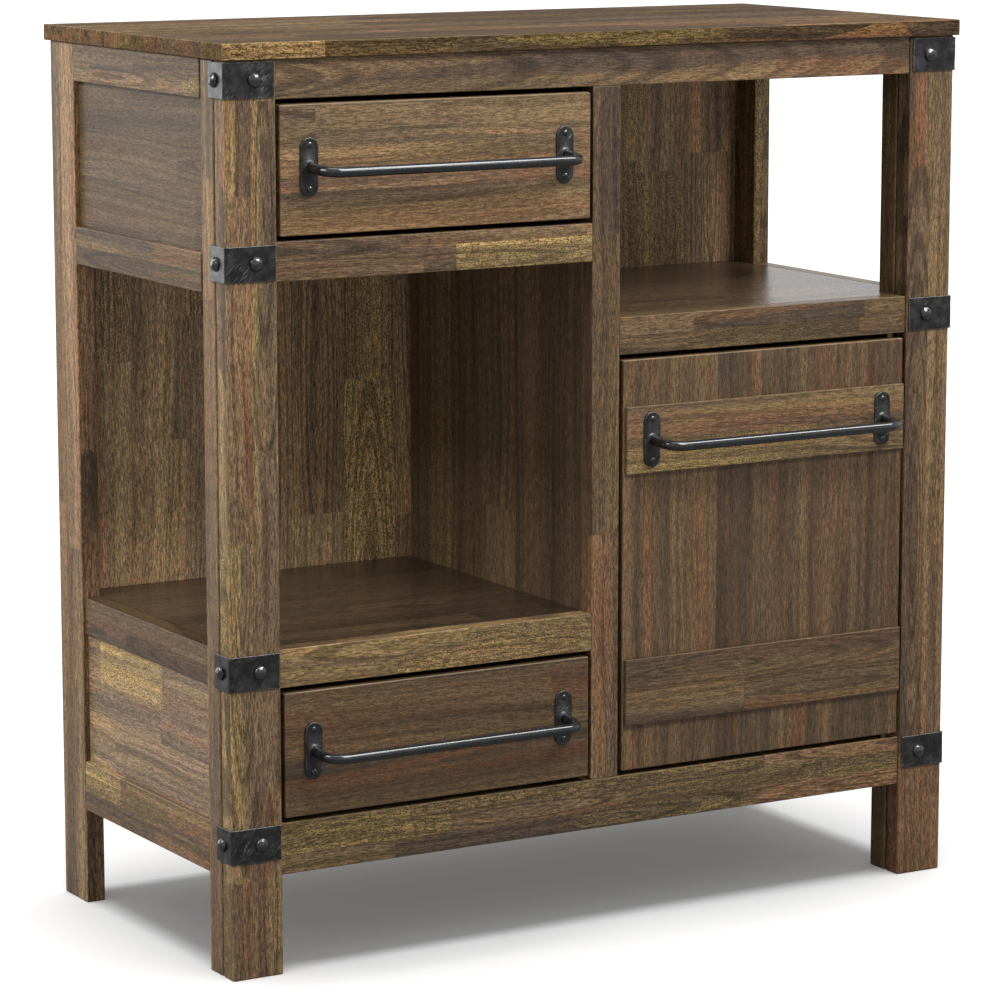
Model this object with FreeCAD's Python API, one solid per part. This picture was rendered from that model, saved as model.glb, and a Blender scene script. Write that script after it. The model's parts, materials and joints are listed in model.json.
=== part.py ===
import FreeCAD, Part
import math
import os

from FreeCAD import Placement, Rotation, Vector

# Rustic accent cabinet: a wooden face-frame case with two drawers, two open cubbies and one door.
# Millimetres, +Z up, the front faces -Y, origin on the floor under the middle of the whole object.

# Case, measured over the posts
case_w = 840.0
case_d = 388.0
case_h = 900.0

# Top panel
top_t = 16.0
top_side_overhang = 4.0
top_front_overhang = 5.0
top_back_overhang = 7.0
top_round = 2.5

# Front posts are a face stile glued to a leg board, rear legs are single boards
post_w = 54.0
stile_t = 21.5
front_leg_t = 28.5
rear_leg_t = 20.0
rear_leg_d = 54.0
board_ease = 1.0

# Front frame
leg_clear = 98.5
rail_setback = 2.5
rail_h = 38.0
bottom_rail_h = 51.0
centre_stile_w = 32.0
left_bay_w = 351.0
upper_drawer_opening_h = 134.0
lower_drawer_opening_h = 133.0
right_cubby_h = 229.5

# Side and back walls
side_rail_t = 20.0
side_rail_drop = 11.5
low_side_rail_setback = 3.0
side_panel_t = 8.0
side_panel_setback = 6.0
panel_groove = 6.0
back_rail_t = 16.0
back_panel_t = 8.0
back_panel_lap = 10.0

# Inner boards
partition_t = 20.0
deck_t = 12.0
shelf_t = 14.0

# Drawer fronts and door
front_t = 18.0
front_setback = 0.5
front_round = 3.0
end_reveal = 5.0
drawer_reveal = 4.0
door_reveal = 3.5
batten_h = 68.0
batten_t = 5.0
batten_from_end = 47.0
batten_end_inset = 1.5

# Drawer boxes
box_side_t = 12.0
box_h = 95.0
box_back_gap = 35.5
box_lift = 12.0
box_bottom_t = 6.0
box_bottom_lift = 10.0
box_groove = 6.0

# Telescopic drawer slides: a fixed, a middle and a drawer channel, one inside the other
slide_t = 12.7
slide_h = 35.0
slide_back_gap = 46.5
slide_sheet = 1.2
slide_play = 0.3
slide_inset = 4.0
slide_lap = 3.4
packing_h = 46.0

# Bar handles
handle_span = 282.0
handle_reach = 34.0
handle_bend = 10.0
handle_bar_d = 8.0
handle_droop = 5.0
handle_rise = 2.5
plate_w = 19.0
plate_h = 56.0
plate_t = 2.5
boss_d = 13.0
boss_t = 2.0

# Corner brackets and their forged bolts, square under a faceted dome
bracket_h = 34.0
bracket_t = 2.0
bracket_round = 2.4
bracket_end_inset = 2.0
bracket_side_l = 30.0
bolt_head_d = 14.0
bolt_head_h = 5.0
bolt_flat_d = 3.0
bolt_facets = 12
bolt_bands = 3
bolt_neck_w = 5.0
bolt_depth = 15.0
bolt_from_side = 31.0
bolt_from_front = 17.0
bolt_play = 0.05

# Door pivots: pins in the door turn in bushes let into the rails
pivot_inset = 13.0
pivot_setback = 7.5
pin_d = 5.0
pin_grip = 22.0
bush_d = 8.0
bush_depth = 10.0
pivot_play = 0.05
pivot_lift = 0.3

# Magnetic door catch
catch_w = 44.0
catch_d = 16.0
catch_h = 18.0
catch_from_top = 60.0
catch_gap = 0.3
strike_w = 16.0
strike_h = 30.0
strike_edge = 4.0

# Places along X
x_left = -case_w / 2
x_right = case_w / 2
bay_left = x_left + post_w
bay_mid = bay_left + left_bay_w
bay_right = bay_mid + centre_stile_w
bay_end = x_right - post_w
inner_left = x_left + rear_leg_t
inner_right = x_right - rear_leg_t

# Places along Y, with the origin midway between the door handle and the back of the top
handle_front = handle_reach * math.cos(math.radians(handle_droop)) + handle_bar_d / 2
front_reach = batten_t + plate_t + boss_t + handle_front - front_setback
y_front = (front_reach - case_d - top_back_overhang) / 2
y_rail = y_front + rail_setback
y_frame_back = y_front + stile_t
y_leg_back = y_frame_back + front_leg_t
y_rear = y_front + case_d
y_rear_leg = y_rear - rear_leg_d
y_back = y_rear - back_rail_t
y_face = y_front + front_setback
y_face_back = y_face + front_t

# Heights
z_top = case_h - top_t
z_top_rail = z_top - rail_h
z_bottom_rail_top = leg_clear + bottom_rail_h
z_upper_rail_top = z_top_rail - upper_drawer_opening_h
z_upper_rail = z_upper_rail_top - rail_h
z_lower_rail = z_bottom_rail_top + lower_drawer_opening_h
z_cubby_floor = z_lower_rail + rail_h
z_shelf = z_top_rail - right_cubby_h
z_shelf_rail = z_shelf - rail_h
z_side_rail_top = z_upper_rail_top - side_rail_drop
z_side_rail = z_side_rail_top - rail_h


def block(x0, x1, y0, y1, z0, z1):
    """Plain box between six planes."""
    return Part.makeBox(x1 - x0, y1 - y0, z1 - z0, Vector(x0, y0, z0))


def board(x0, x1, y0, y1, z0, z1):
    """Sawn board with every edge eased."""
    plain = block(x0, x1, y0, y1, z0, z1)
    return plain.makeChamfer(board_ease, plain.Edges)


def edges_in_plane(shape, axis, value):
    """Edges that lie wholly in the plane where one coordinate has this value."""
    tolerance = 1e-6
    return [
        edge
        for edge in shape.Edges
        if all(abs(getattr(vertex.Point, axis) - value) < tolerance for vertex in edge.Vertexes)
    ]


def rounded_front(x0, x1, y0, y1, z0, z1):
    """Board whose front edges are rounded over."""
    plain = block(x0, x1, y0, y1, z0, z1)
    return plain.makeFillet(front_round, edges_in_plane(plain, "y", y0))


def top_panel():
    """Top slab, rounded over along its upper edges."""
    x_out = case_w / 2 + top_side_overhang
    slab = block(-x_out, x_out, y_front - top_front_overhang, y_rear + top_back_overhang, z_top, case_h)
    return slab.makeFillet(top_round, edges_in_plane(slab, "z", case_h))


def bracket_heights(side):
    """Underside heights of the corner brackets on one front post, each centred on its rail."""
    mid = (rail_h - bracket_h) / 2
    heights = [z_top_rail + mid, z_bottom_rail_top - bracket_h]
    if side < 0:
        heights += [z_upper_rail + mid, z_lower_rail + mid]
    else:
        heights += [z_shelf_rail + mid]
    return heights


def bolt_seats(side):
    """Places and outward directions of the bracket bolts on one front post."""
    x_outer = side * case_w / 2
    seats = []
    for z in bracket_heights(side):
        z_mid = z + bracket_h / 2
        front_seat = Vector(x_outer - side * bolt_from_side, y_front - bracket_t, z_mid)
        side_seat = Vector(x_outer + side * bracket_t, y_front + bolt_from_front, z_mid)
        seats += [(front_seat, Vector(0, -1, 0)), (side_seat, Vector(side, 0, 0))]
    return seats


def bolt_neck(seat, outward, width):
    """Square neck of a bolt, from its seat on a bracket into the post."""
    tail = bracket_t + bolt_depth
    neck = block(-width / 2, width / 2, -width / 2, width / 2, -tail, 0)
    neck.Placement = Placement(seat, Rotation(Vector(0, 0, 1), outward))
    return neck


def bolt_holes(side):
    """Square holes that take the necks of one post's bracket bolts."""
    width = bolt_neck_w + 2 * bolt_play
    return [bolt_neck(seat, outward, width) for seat, outward in bolt_seats(side)]


def face_stile(side):
    """Front board of a post, drilled for the bracket bolts."""
    x_outer = side * case_w / 2
    x_inner = x_outer - side * post_w
    stile = board(min(x_outer, x_inner), max(x_outer, x_inner), y_front, y_frame_back, 0, z_top)
    return stile.cut(bolt_holes(side))


def side_panel_x(side):
    """Lowest and highest X of the panels let into one side of the case."""
    x_outer = side * (case_w / 2 - side_panel_setback)
    x_inner = x_outer - side * side_panel_t
    return min(x_outer, x_inner), max(x_outer, x_inner)


def side_panel(side, z0, z1):
    """Side panel, with tongues in the grooves of the legs and rails round it."""
    x0, x1 = side_panel_x(side)
    return block(x0, x1, y_leg_back - panel_groove, y_rear_leg + panel_groove,
                 z0 - panel_groove, z1 + panel_groove)


def side_panels(side):
    """Side panels of one side of the case."""
    lower_top = z_lower_rail if side < 0 else z_shelf_rail
    panels = {"lower": side_panel(side, z_bottom_rail_top, lower_top)}
    if side < 0:
        panels["upper"] = side_panel(side, z_side_rail_top, z_top_rail)
    return panels


def front_leg(side):
    """Leg board behind a face stile, grooved for the side panels."""
    x_outer = side * case_w / 2
    x_inner = x_outer - side * post_w
    leg = board(min(x_outer, x_inner), max(x_outer, x_inner), y_frame_back, y_leg_back, 0, z_top)
    return leg.cut(list(side_panels(side).values()))


def rear_leg(side):
    """Rear leg board, grooved for the side panels and the back panel."""
    x_outer = side * case_w / 2
    x_inner = x_outer - side * rear_leg_t
    leg = board(min(x_outer, x_inner), max(x_outer, x_inner), y_rear_leg, y_rear, 0, z_top)
    return leg.cut(list(side_panels(side).values()) + [back_panel()])


def side_rail(side, z0, z1, setback=0.0):
    """Rail between a front and a rear leg, grooved for the side panels."""
    x_outer = side * (case_w / 2 - setback)
    x_inner = x_outer - side * side_rail_t
    rail = board(min(x_outer, x_inner), max(x_outer, x_inner), y_leg_back, y_rear_leg, z0, z1)
    return rail.cut(list(side_panels(side).values()))


def front_rail(x0, x1, z0, z1):
    """Rail or stile of the front frame, its back flush with the posts' face boards."""
    return board(x0, x1, y_rail, y_frame_back, z0, z1)


def back_panel():
    """Back panel between the rear legs, lapped over the back rails."""
    return block(inner_left - panel_groove, inner_right + panel_groove, y_back, y_back + back_panel_t,
                 z_bottom_rail_top - back_panel_lap, z_top_rail + back_panel_lap)


def back_rail(z0, z1):
    """Back rail between the rear legs, rebated for the back panel."""
    return board(inner_left, inner_right, y_back, y_rear, z0, z1).cut(back_panel())


def floor_board(x0, x1, z_upper, thickness, rail_setback_left=0.0):
    """Horizontal inner board from the front frame to the back panel, cut round the legs and side rails."""
    def corner(side, depth, y0, y1):
        x_outer = side * case_w / 2
        x_inner = x_outer - side * depth
        return block(min(x_outer, x_inner), max(x_outer, x_inner), y0, y1, z_upper - thickness, z_upper)

    cuts = []
    for side, setback in ((-1, rail_setback_left), (1, 0.0)):
        cuts.append(corner(side, post_w, y_frame_back, y_leg_back))
        cuts.append(corner(side, setback + side_rail_t, y_leg_back, y_rear_leg))
        cuts.append(corner(side, rear_leg_t, y_rear_leg, y_back))
    return block(x0, x1, y_frame_back, y_back, z_upper - thickness, z_upper).cut(cuts)


def partition():
    """Upright board between the left and right bays."""
    return board(bay_mid, bay_mid + partition_t, y_frame_back, y_back, z_bottom_rail_top, z_top)


def corner_bracket(side, z0):
    """Bent plate round the outer corner of a front post."""
    flange = post_w - bracket_end_inset
    outline = [
        Vector(flange, 0, 0),
        Vector(flange, -bracket_t, 0),
        Vector(-bracket_t, -bracket_t, 0),
        Vector(-bracket_t, bracket_side_l, 0),
        Vector(0, bracket_side_l, 0),
        Vector(0, 0, 0),
    ]
    plate = Part.Face(Part.makePolygon(outline + outline[:1])).extrude(Vector(0, 0, bracket_h))
    plate = plate.makeFillet(bracket_round, corner_edges(plate))
    if side > 0:
        plate = plate.mirror(Vector(0, 0, 0), Vector(1, 0, 0))
    plate.translate(Vector(side * case_w / 2, y_front, z0))
    return plate.cut(bolt_holes(side))


def corner_edges(plate):
    """Upright edge of a bracket's outer corner."""
    return [
        edge
        for edge in plate.Edges
        if all(vertex.X == -bracket_t and vertex.Y == -bracket_t for vertex in edge.Vertexes)
    ]


def bolt(seat, outward):
    """Forged bolt: a faceted dome on the bracket, with a square neck in the post."""
    rim_r = bolt_head_d / 2
    flat_r = bolt_flat_d / 2
    depth = (rim_r ** 2 - flat_r ** 2 - bolt_head_h ** 2) / (2 * bolt_head_h)
    sphere_r = math.hypot(depth, rim_r)
    rim = math.atan2(rim_r, depth)
    flat = math.atan2(flat_r, depth + bolt_head_h)
    rings = []
    for step in range(bolt_bands + 1):
        lean = rim + (flat - rim) * step / bolt_bands
        rings.append(facet_ring(sphere_r * math.sin(lean), sphere_r * math.cos(lean) - depth))
    dome = Part.makeLoft(rings, True, True)
    dome.Placement = Placement(seat, Rotation(Vector(0, 0, 1), outward))
    return dome.fuse(bolt_neck(seat, outward, bolt_neck_w)).removeSplitter()


def facet_ring(radius, z):
    """Closed polygon round the Z axis, with the corners of a bolt's facets."""
    turns = [2 * math.pi * i / bolt_facets for i in range(bolt_facets + 1)]
    return Part.makePolygon([Vector(radius * math.cos(turn), radius * math.sin(turn), z) for turn in turns])


def handle(x_mid, y_seat, z_mid):
    """Bent bar between two stadium-shaped plates that seat on a front at y_seat."""
    x_leg = handle_span / 2
    y_root = y_seat - plate_t - boss_t
    straight = handle_reach - handle_bend
    dip = handle_bend * (1 - math.sqrt(0.5))
    behind = handle_bar_d
    corners = [Vector(-x_leg, -straight, 0), Vector(-x_leg + handle_bend, -handle_reach, 0),
               Vector(x_leg - handle_bend, -handle_reach, 0), Vector(x_leg, -straight, 0)]
    path = Part.Wire([
        Part.LineSegment(Vector(-x_leg, behind, 0), corners[0]).toShape(),
        Part.Arc(corners[0], Vector(-x_leg + dip, -handle_reach + dip, 0), corners[1]).toShape(),
        Part.LineSegment(corners[1], corners[2]).toShape(),
        Part.Arc(corners[2], Vector(x_leg - dip, -handle_reach + dip, 0), corners[3]).toShape(),
        Part.LineSegment(corners[3], Vector(x_leg, behind, 0)).toShape(),
    ])
    ring = Part.Circle(Vector(-x_leg, behind, 0), Vector(0, -1, 0), handle_bar_d / 2).toShape()
    bar = path.makePipeShell([Part.Wire(ring)], True, False)
    bar.rotate(Vector(0, 0, 0), Vector(1, 0, 0), handle_droop)
    reach_box = handle_span + 2 * handle_bar_d
    bar = bar.cut(block(-reach_box, reach_box, 0, reach_box, -reach_box, reach_box))
    bar.translate(Vector(x_mid, y_root, z_mid))
    plates = [handle_plate(x_mid + side * x_leg, y_seat, z_mid) for side in (-1, 1)]
    return Part.makeCompound(bar.Solids + plates)


def handle_plate(x_mid, y_seat, z_mid):
    """Stadium-shaped backplate with a round boss where the bar leaves it."""
    r = plate_w / 2
    rise = plate_h / 2 - r
    outline = Part.Wire([
        Part.LineSegment(Vector(-r, 0, -rise), Vector(-r, 0, rise)).toShape(),
        Part.Arc(Vector(-r, 0, rise), Vector(0, 0, rise + r), Vector(r, 0, rise)).toShape(),
        Part.LineSegment(Vector(r, 0, rise), Vector(r, 0, -rise)).toShape(),
        Part.Arc(Vector(r, 0, -rise), Vector(0, 0, -rise - r), Vector(-r, 0, -rise)).toShape(),
    ])
    plate = Part.Face(outline).extrude(Vector(0, -plate_t, 0))
    boss = Part.makeCylinder(boss_d / 2, plate_t + boss_t, Vector(0, 0, 0), Vector(0, -1, 0))
    solid = plate.fuse(boss).removeSplitter()
    solid.translate(Vector(x_mid, y_seat, z_mid))
    return solid


def drawer_height(opening_z, opening_h):
    """Lowest and highest Z of a drawer front in its opening."""
    return opening_z + end_reveal, opening_z + opening_h - end_reveal


def drawer(opening_z, opening_h):
    """Pieces of one drawer: front, box and handle."""
    z0, z1 = drawer_height(opening_z, opening_h)
    front_left = bay_left + drawer_reveal
    front_right = bay_mid - drawer_reveal
    out_left = bay_left + slide_t
    out_right = bay_mid - slide_t
    in_left = out_left + box_side_t
    in_right = out_right - box_side_t
    box_z = z0 + box_lift
    box_top = box_z + box_h
    box_back = y_back - box_back_gap
    bottom_z = box_z + box_bottom_lift
    bottom_top = bottom_z + box_bottom_t
    bottom = block(in_left - box_groove, in_right + box_groove, y_face_back - box_groove, box_back,
                   bottom_z, bottom_top)
    x_mid = (front_left + front_right) / 2
    return {
        "front": rounded_front(front_left, front_right, y_face, y_face_back, z0, z1).cut(bottom),
        "left_side": board(out_left, in_left, y_face_back, box_back, box_z, box_top).cut(bottom),
        "right_side": board(in_right, out_right, y_face_back, box_back, box_z, box_top).cut(bottom),
        "back": board(in_left, in_right, box_back - box_side_t, box_back, bottom_top, box_top),
        "bottom": bottom,
        "handle": handle(x_mid, y_face, (z0 + z1) / 2 + handle_rise),
    }


def channel(wall_x, sign, near, far, height, web_at_wall, z_mid):
    """Steel channel along Y, between two distances from a wall, with its web at one of them."""
    y0 = y_frame_back + slide_inset
    y1 = y_back - slide_back_gap
    hollow_near = near + slide_sheet if web_at_wall else near
    hollow_far = far if web_at_wall else far - slide_sheet
    outer = block(*sorted((wall_x + sign * near, wall_x + sign * far)), y0, y1,
                  z_mid - height / 2, z_mid + height / 2)
    inner_h = height - 2 * slide_sheet
    hollow = block(*sorted((wall_x + sign * hollow_near, wall_x + sign * hollow_far)), y0, y1,
                   z_mid - inner_h / 2, z_mid + inner_h / 2)
    return outer.cut(hollow)


def slide(wall_x, sign, z_mid):
    """Fixed, middle and drawer channels of one drawer slide, nested with a little play."""
    step = slide_sheet + slide_play
    middle_h = slide_h - 2 * step
    drawer_h = middle_h - 2 * step
    fixed = channel(wall_x, sign, 0, slide_t - slide_lap, slide_h, True, z_mid)
    middle = channel(wall_x, sign, step, slide_t - slide_lap / 2, middle_h, True, z_mid)
    runner = channel(wall_x, sign, 2 * step, slide_t, drawer_h, False, z_mid)
    return fixed, middle, runner


def slide_height(opening_z, opening_h):
    """Height of a drawer's slides: the middle of its box sides."""
    return drawer_height(opening_z, opening_h)[0] + box_lift + box_h / 2


def packing_block(z_mid):
    """Block that packs the left slide out to the edge of the opening."""
    half = packing_h / 2
    return board(inner_left, bay_left, y_leg_back, y_back, z_mid - half, z_mid + half)


def door_width():
    """Left and right edges of the door."""
    return bay_right + door_reveal, bay_end - door_reveal


def door_height():
    """Lower and upper edges of the door."""
    return z_bottom_rail_top + end_reveal, z_shelf_rail - end_reveal


def pivot_axis():
    """X and Y of the line that the door turns on."""
    return door_width()[1] - pivot_inset, y_face + pivot_setback


def upright_rod(diameter, z0, z1):
    """Round rod on the door's turning line."""
    x, y = pivot_axis()
    return Part.makeCylinder(diameter / 2, z1 - z0, Vector(x, y, z0))


def pivot_spans(reach_into_door, reach_into_rail):
    """Z spans of the lower and upper pivots, from inside the door to inside a rail."""
    z0, z1 = door_height()
    return [(z_bottom_rail_top - reach_into_rail, z0 + reach_into_door),
            (z1 - reach_into_door, z_shelf_rail + reach_into_rail)]


def pivot_pins():
    """Pins fixed in the door's ends."""
    return [upright_rod(pin_d, z0, z1) for z0, z1 in pivot_spans(pin_grip, bush_depth)]


def pivot_bushes():
    """Bushes in the rails, standing out to just short of the door."""
    bore_d = pin_d + 2 * pivot_play
    return [upright_rod(bush_d, z0, z1).cut(upright_rod(bore_d, z0, z1))
            for z0, z1 in pivot_spans(-pivot_lift, bush_depth)]


def drilled_for_bushes(rail):
    """Rail with the seats of the pivot bushes bored in it."""
    seat_d = bush_d + 2 * pivot_play
    return rail.cut([upright_rod(seat_d, z0, z1) for z0, z1 in pivot_spans(-pivot_lift, bush_depth)])


def door():
    """Pieces of the door: panel, battens and handle."""
    left, right = door_width()
    z0, z1 = door_height()
    seat_d = pin_d + 2 * pivot_play
    panel = rounded_front(left, right, y_face, y_face_back, z0, z1)
    batten_left = left + batten_end_inset
    batten_right = right - batten_end_inset
    low_z = z0 + batten_from_end
    high_z = z1 - batten_from_end - batten_h
    y_batten = y_face - batten_t
    return {
        "panel": panel.cut([upright_rod(seat_d, a, b) for a, b in pivot_spans(pin_grip, bush_depth)]),
        "top_batten": rounded_front(batten_left, batten_right, y_batten, y_face, high_z, high_z + batten_h),
        "bottom_batten": rounded_front(batten_left, batten_right, y_batten, y_face, low_z, low_z + batten_h),
        "handle": handle((left + right) / 2, y_batten, high_z + batten_h / 2),
    }


def magnet_catch():
    """Catch block on the partition and the strike plate on the back of the door."""
    left = door_width()[0]
    z_mid = door_height()[1] - catch_from_top
    x_wall = bay_mid + partition_t
    y_catch = y_frame_back + catch_gap
    catch = board(x_wall, x_wall + catch_w, y_catch, y_catch + catch_d,
                  z_mid - catch_h / 2, z_mid + catch_h / 2)
    strike = block(left + strike_edge, left + strike_edge + strike_w, y_face_back, y_frame_back,
                   z_mid - strike_h / 2, z_mid + strike_h / 2)
    return catch, strike


def case_nodes():
    """Every fixed wooden piece of the case."""
    nodes = {"top_panel": top_panel(), "partition": partition(), "back_panel": back_panel()}
    for name, side in (("left", -1), ("right", 1)):
        nodes[name + "_face_stile"] = face_stile(side)
        nodes[name + "_front_leg"] = front_leg(side)
        nodes[name + "_rear_leg"] = rear_leg(side)
        nodes[name + "_top_side_rail"] = side_rail(side, z_top_rail, z_top)
        nodes[name + "_bottom_side_rail"] = side_rail(side, leg_clear, z_bottom_rail_top)
        for level, panel in side_panels(side).items():
            nodes[name + "_" + level + "_panel"] = panel
    nodes["left_upper_mid_rail"] = side_rail(-1, z_side_rail, z_side_rail_top)
    nodes["left_lower_mid_rail"] = side_rail(-1, z_lower_rail, z_cubby_floor, low_side_rail_setback)
    nodes["right_mid_side_rail"] = side_rail(1, z_shelf_rail, z_shelf)
    nodes["front_top_rail"] = front_rail(bay_left, bay_end, z_top_rail, z_top)
    bottom_rail = front_rail(bay_left, bay_end, leg_clear, z_bottom_rail_top)
    nodes["front_bottom_rail"] = drilled_for_bushes(bottom_rail)
    nodes["centre_stile"] = front_rail(bay_mid, bay_right, z_bottom_rail_top, z_top_rail)
    nodes["upper_drawer_rail"] = front_rail(bay_left, bay_mid, z_upper_rail, z_upper_rail_top)
    nodes["lower_drawer_rail"] = front_rail(bay_left, bay_mid, z_lower_rail, z_cubby_floor)
    nodes["shelf_rail"] = drilled_for_bushes(front_rail(bay_right, bay_end, z_shelf_rail, z_shelf))
    nodes["back_top_rail"] = back_rail(z_top_rail, z_top)
    nodes["back_bottom_rail"] = back_rail(leg_clear, z_bottom_rail_top)
    nodes["upper_drawer_deck"] = floor_board(x_left, bay_mid, z_side_rail_top, deck_t)
    nodes["cubby_floor"] = floor_board(x_left, bay_mid, z_cubby_floor, shelf_t, low_side_rail_setback)
    nodes["right_shelf"] = floor_board(bay_mid + partition_t, x_right, z_shelf, shelf_t)
    nodes["bottom_panel"] = floor_board(x_left, x_right, z_bottom_rail_top, shelf_t)
    return nodes


def hardware_nodes():
    """Brackets, bolts, slides and pivots."""
    sides = (-1, 1)
    nodes = {}
    nodes["corner_brackets"] = Part.makeCompound(
        [corner_bracket(side, z) for side in sides for z in bracket_heights(side)])
    nodes["bracket_bolts"] = Part.makeCompound(
        [bolt(seat, outward) for side in sides for seat, outward in bolt_seats(side)])
    nodes["door_pivot_pins"] = Part.makeCompound(pivot_pins())
    nodes["door_pivot_bushes"] = Part.makeCompound(pivot_bushes())
    nodes["magnet_catch"], nodes["catch_strike"] = magnet_catch()
    return nodes


def drawer_nodes():
    """Both drawers with their slides and the blocks that pack the slides out."""
    openings = {
        "upper": (z_upper_rail_top, upper_drawer_opening_h),
        "lower": (z_bottom_rail_top, lower_drawer_opening_h),
    }
    nodes = {}
    fixed_channels = []
    packing = []
    for name, opening in openings.items():
        z_mid = slide_height(*opening)
        left = slide(bay_left, 1, z_mid)
        right = slide(bay_mid, -1, z_mid)
        fixed_channels += [left[0], right[0]]
        packing.append(packing_block(z_mid))
        nodes[name + "_slide_middle_channels"] = Part.makeCompound([left[1], right[1]])
        nodes[name + "_slide_drawer_channels"] = Part.makeCompound([left[2], right[2]])
        for piece, shape in drawer(*opening).items():
            nodes[name + "_drawer_" + piece] = shape
    nodes["slide_fixed_channels"] = Part.makeCompound(fixed_channels)
    nodes["slide_packing_blocks"] = Part.makeCompound(packing)
    return nodes


def main():
    """Write one file for each named piece."""
    os.makedirs("parts", exist_ok=True)
    nodes = {**case_nodes(), **hardware_nodes(), **drawer_nodes()}
    nodes.update({"door_" + piece: shape for piece, shape in door().items()})
    for name, shape in nodes.items():
        shape.exportStep("parts/" + name + ".step")
    print(len(nodes), "pieces written")


main()
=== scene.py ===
"""Looks of a rustic accent cabinet: acacia boards, black ironwork, zinc slides and a plain studio.

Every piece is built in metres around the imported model, in its frame: +Z up, the front faces -Y.
"""

import dataclasses
import functools
import json
import logging
import math
from dataclasses import dataclass, field
from enum import Enum
from typing import Any, Sequence

import bmesh
import bpy
import numpy as np
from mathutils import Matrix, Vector

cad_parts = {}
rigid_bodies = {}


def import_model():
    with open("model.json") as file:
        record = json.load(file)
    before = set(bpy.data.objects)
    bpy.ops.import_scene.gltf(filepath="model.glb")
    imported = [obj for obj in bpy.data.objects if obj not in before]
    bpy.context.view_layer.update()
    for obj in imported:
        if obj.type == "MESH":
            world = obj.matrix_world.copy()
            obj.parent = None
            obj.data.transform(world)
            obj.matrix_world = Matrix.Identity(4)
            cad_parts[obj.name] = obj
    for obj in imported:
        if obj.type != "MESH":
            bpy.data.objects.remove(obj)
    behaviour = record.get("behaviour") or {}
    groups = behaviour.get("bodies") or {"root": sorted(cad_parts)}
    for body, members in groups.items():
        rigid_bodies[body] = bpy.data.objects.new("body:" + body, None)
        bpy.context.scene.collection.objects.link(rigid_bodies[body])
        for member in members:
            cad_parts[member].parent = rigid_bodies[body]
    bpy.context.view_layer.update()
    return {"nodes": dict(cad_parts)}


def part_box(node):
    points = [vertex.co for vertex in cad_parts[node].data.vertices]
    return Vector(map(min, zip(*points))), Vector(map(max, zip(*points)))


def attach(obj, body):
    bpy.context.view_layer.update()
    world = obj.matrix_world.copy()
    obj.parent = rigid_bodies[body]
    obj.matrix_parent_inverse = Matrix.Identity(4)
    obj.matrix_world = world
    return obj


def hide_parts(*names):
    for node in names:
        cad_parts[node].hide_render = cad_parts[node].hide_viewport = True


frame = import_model()

LOG = logging.getLogger("cabinet")
MM = 0.001

Colour = tuple[float, float, float, float]
Triple = tuple[float, float, float]
Socket = bpy.types.NodeSocket


class Axis(Enum):
    """Axis that a board's grain runs along."""

    X = 0
    Y = 1
    Z = 2


class Slot(Enum):
    """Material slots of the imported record."""

    OUTER = "acacia_outer"
    INNER = "acacia_inner"
    IRON = "black_iron"
    ZINC = "zinc_steel"
    BRASS = "brass_bush"
    PLASTIC = "catch_plastic"


class Tone(Enum):
    """Shares of golden, russet and umber staves in a board."""

    MIXED = (0.24, 0.22, 0.26)
    GOLDEN = (0.46, 0.20, 0.16)
    RUSSET = (0.10, 0.48, 0.20)
    UMBER = (0.12, 0.16, 0.52)
    CALM = (0.06, 0.12, 0.18)
    RUDDY = (0.0, 0.42, 0.16)


class Weave(Enum):
    """Noise of a finish: grains in a metre along and across, octaves and their roughness."""

    SWAY = (3.2, 9.0, 1.0, 0.5)
    STREAK = (0.7, 30.0, 3.0, 0.6)
    GILDING = (1.0, 32.0, 2.0, 0.6)
    PATCH = (1.6, 40.0, 2.0, 0.6)
    STRAIGHT = (2.2, 190.0, 2.0, 0.6)
    FIBRE = (100.0, 880.0, 2.0, 0.7)
    PORE = (330.0, 1100.0, 0.0, 0.5)
    SPECKLE = (560.0, 900.0, 0.0, 0.5)
    SHIMMER = (330.0, 60.0, 1.0, 0.7)
    CLOUD = (95.0, 95.0, 4.0, 0.65)
    GRIT = (900.0, 900.0, 2.0, 0.6)
    BRUSHED = (1.0, 1.0, 2.0, 0.6)
    HAIR = (30.0, 1500.0, 1.0, 0.5)
    ZONE = (38.0, 38.0, 2.0, 0.5)
    DENTS = (1.9, 1.9, 1.0, 0.5)


@dataclass(frozen=True)
class Span:
    """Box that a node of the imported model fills."""

    lo: Vector
    hi: Vector

    @classmethod
    @functools.cache
    def of(cls, node: str) -> "Span":
        """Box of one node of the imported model.

        Args:
            node: Name of the node.

        Returns:
            Its box at rest, in metres.
        """
        lo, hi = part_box(node)
        return cls(lo, hi)

    @property
    def centre(self) -> Vector:
        """Middle of the box."""
        return (self.lo + self.hi) / 2

    @property
    def size(self) -> Vector:
        """Length of the box along each axis."""
        return self.hi - self.lo


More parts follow.
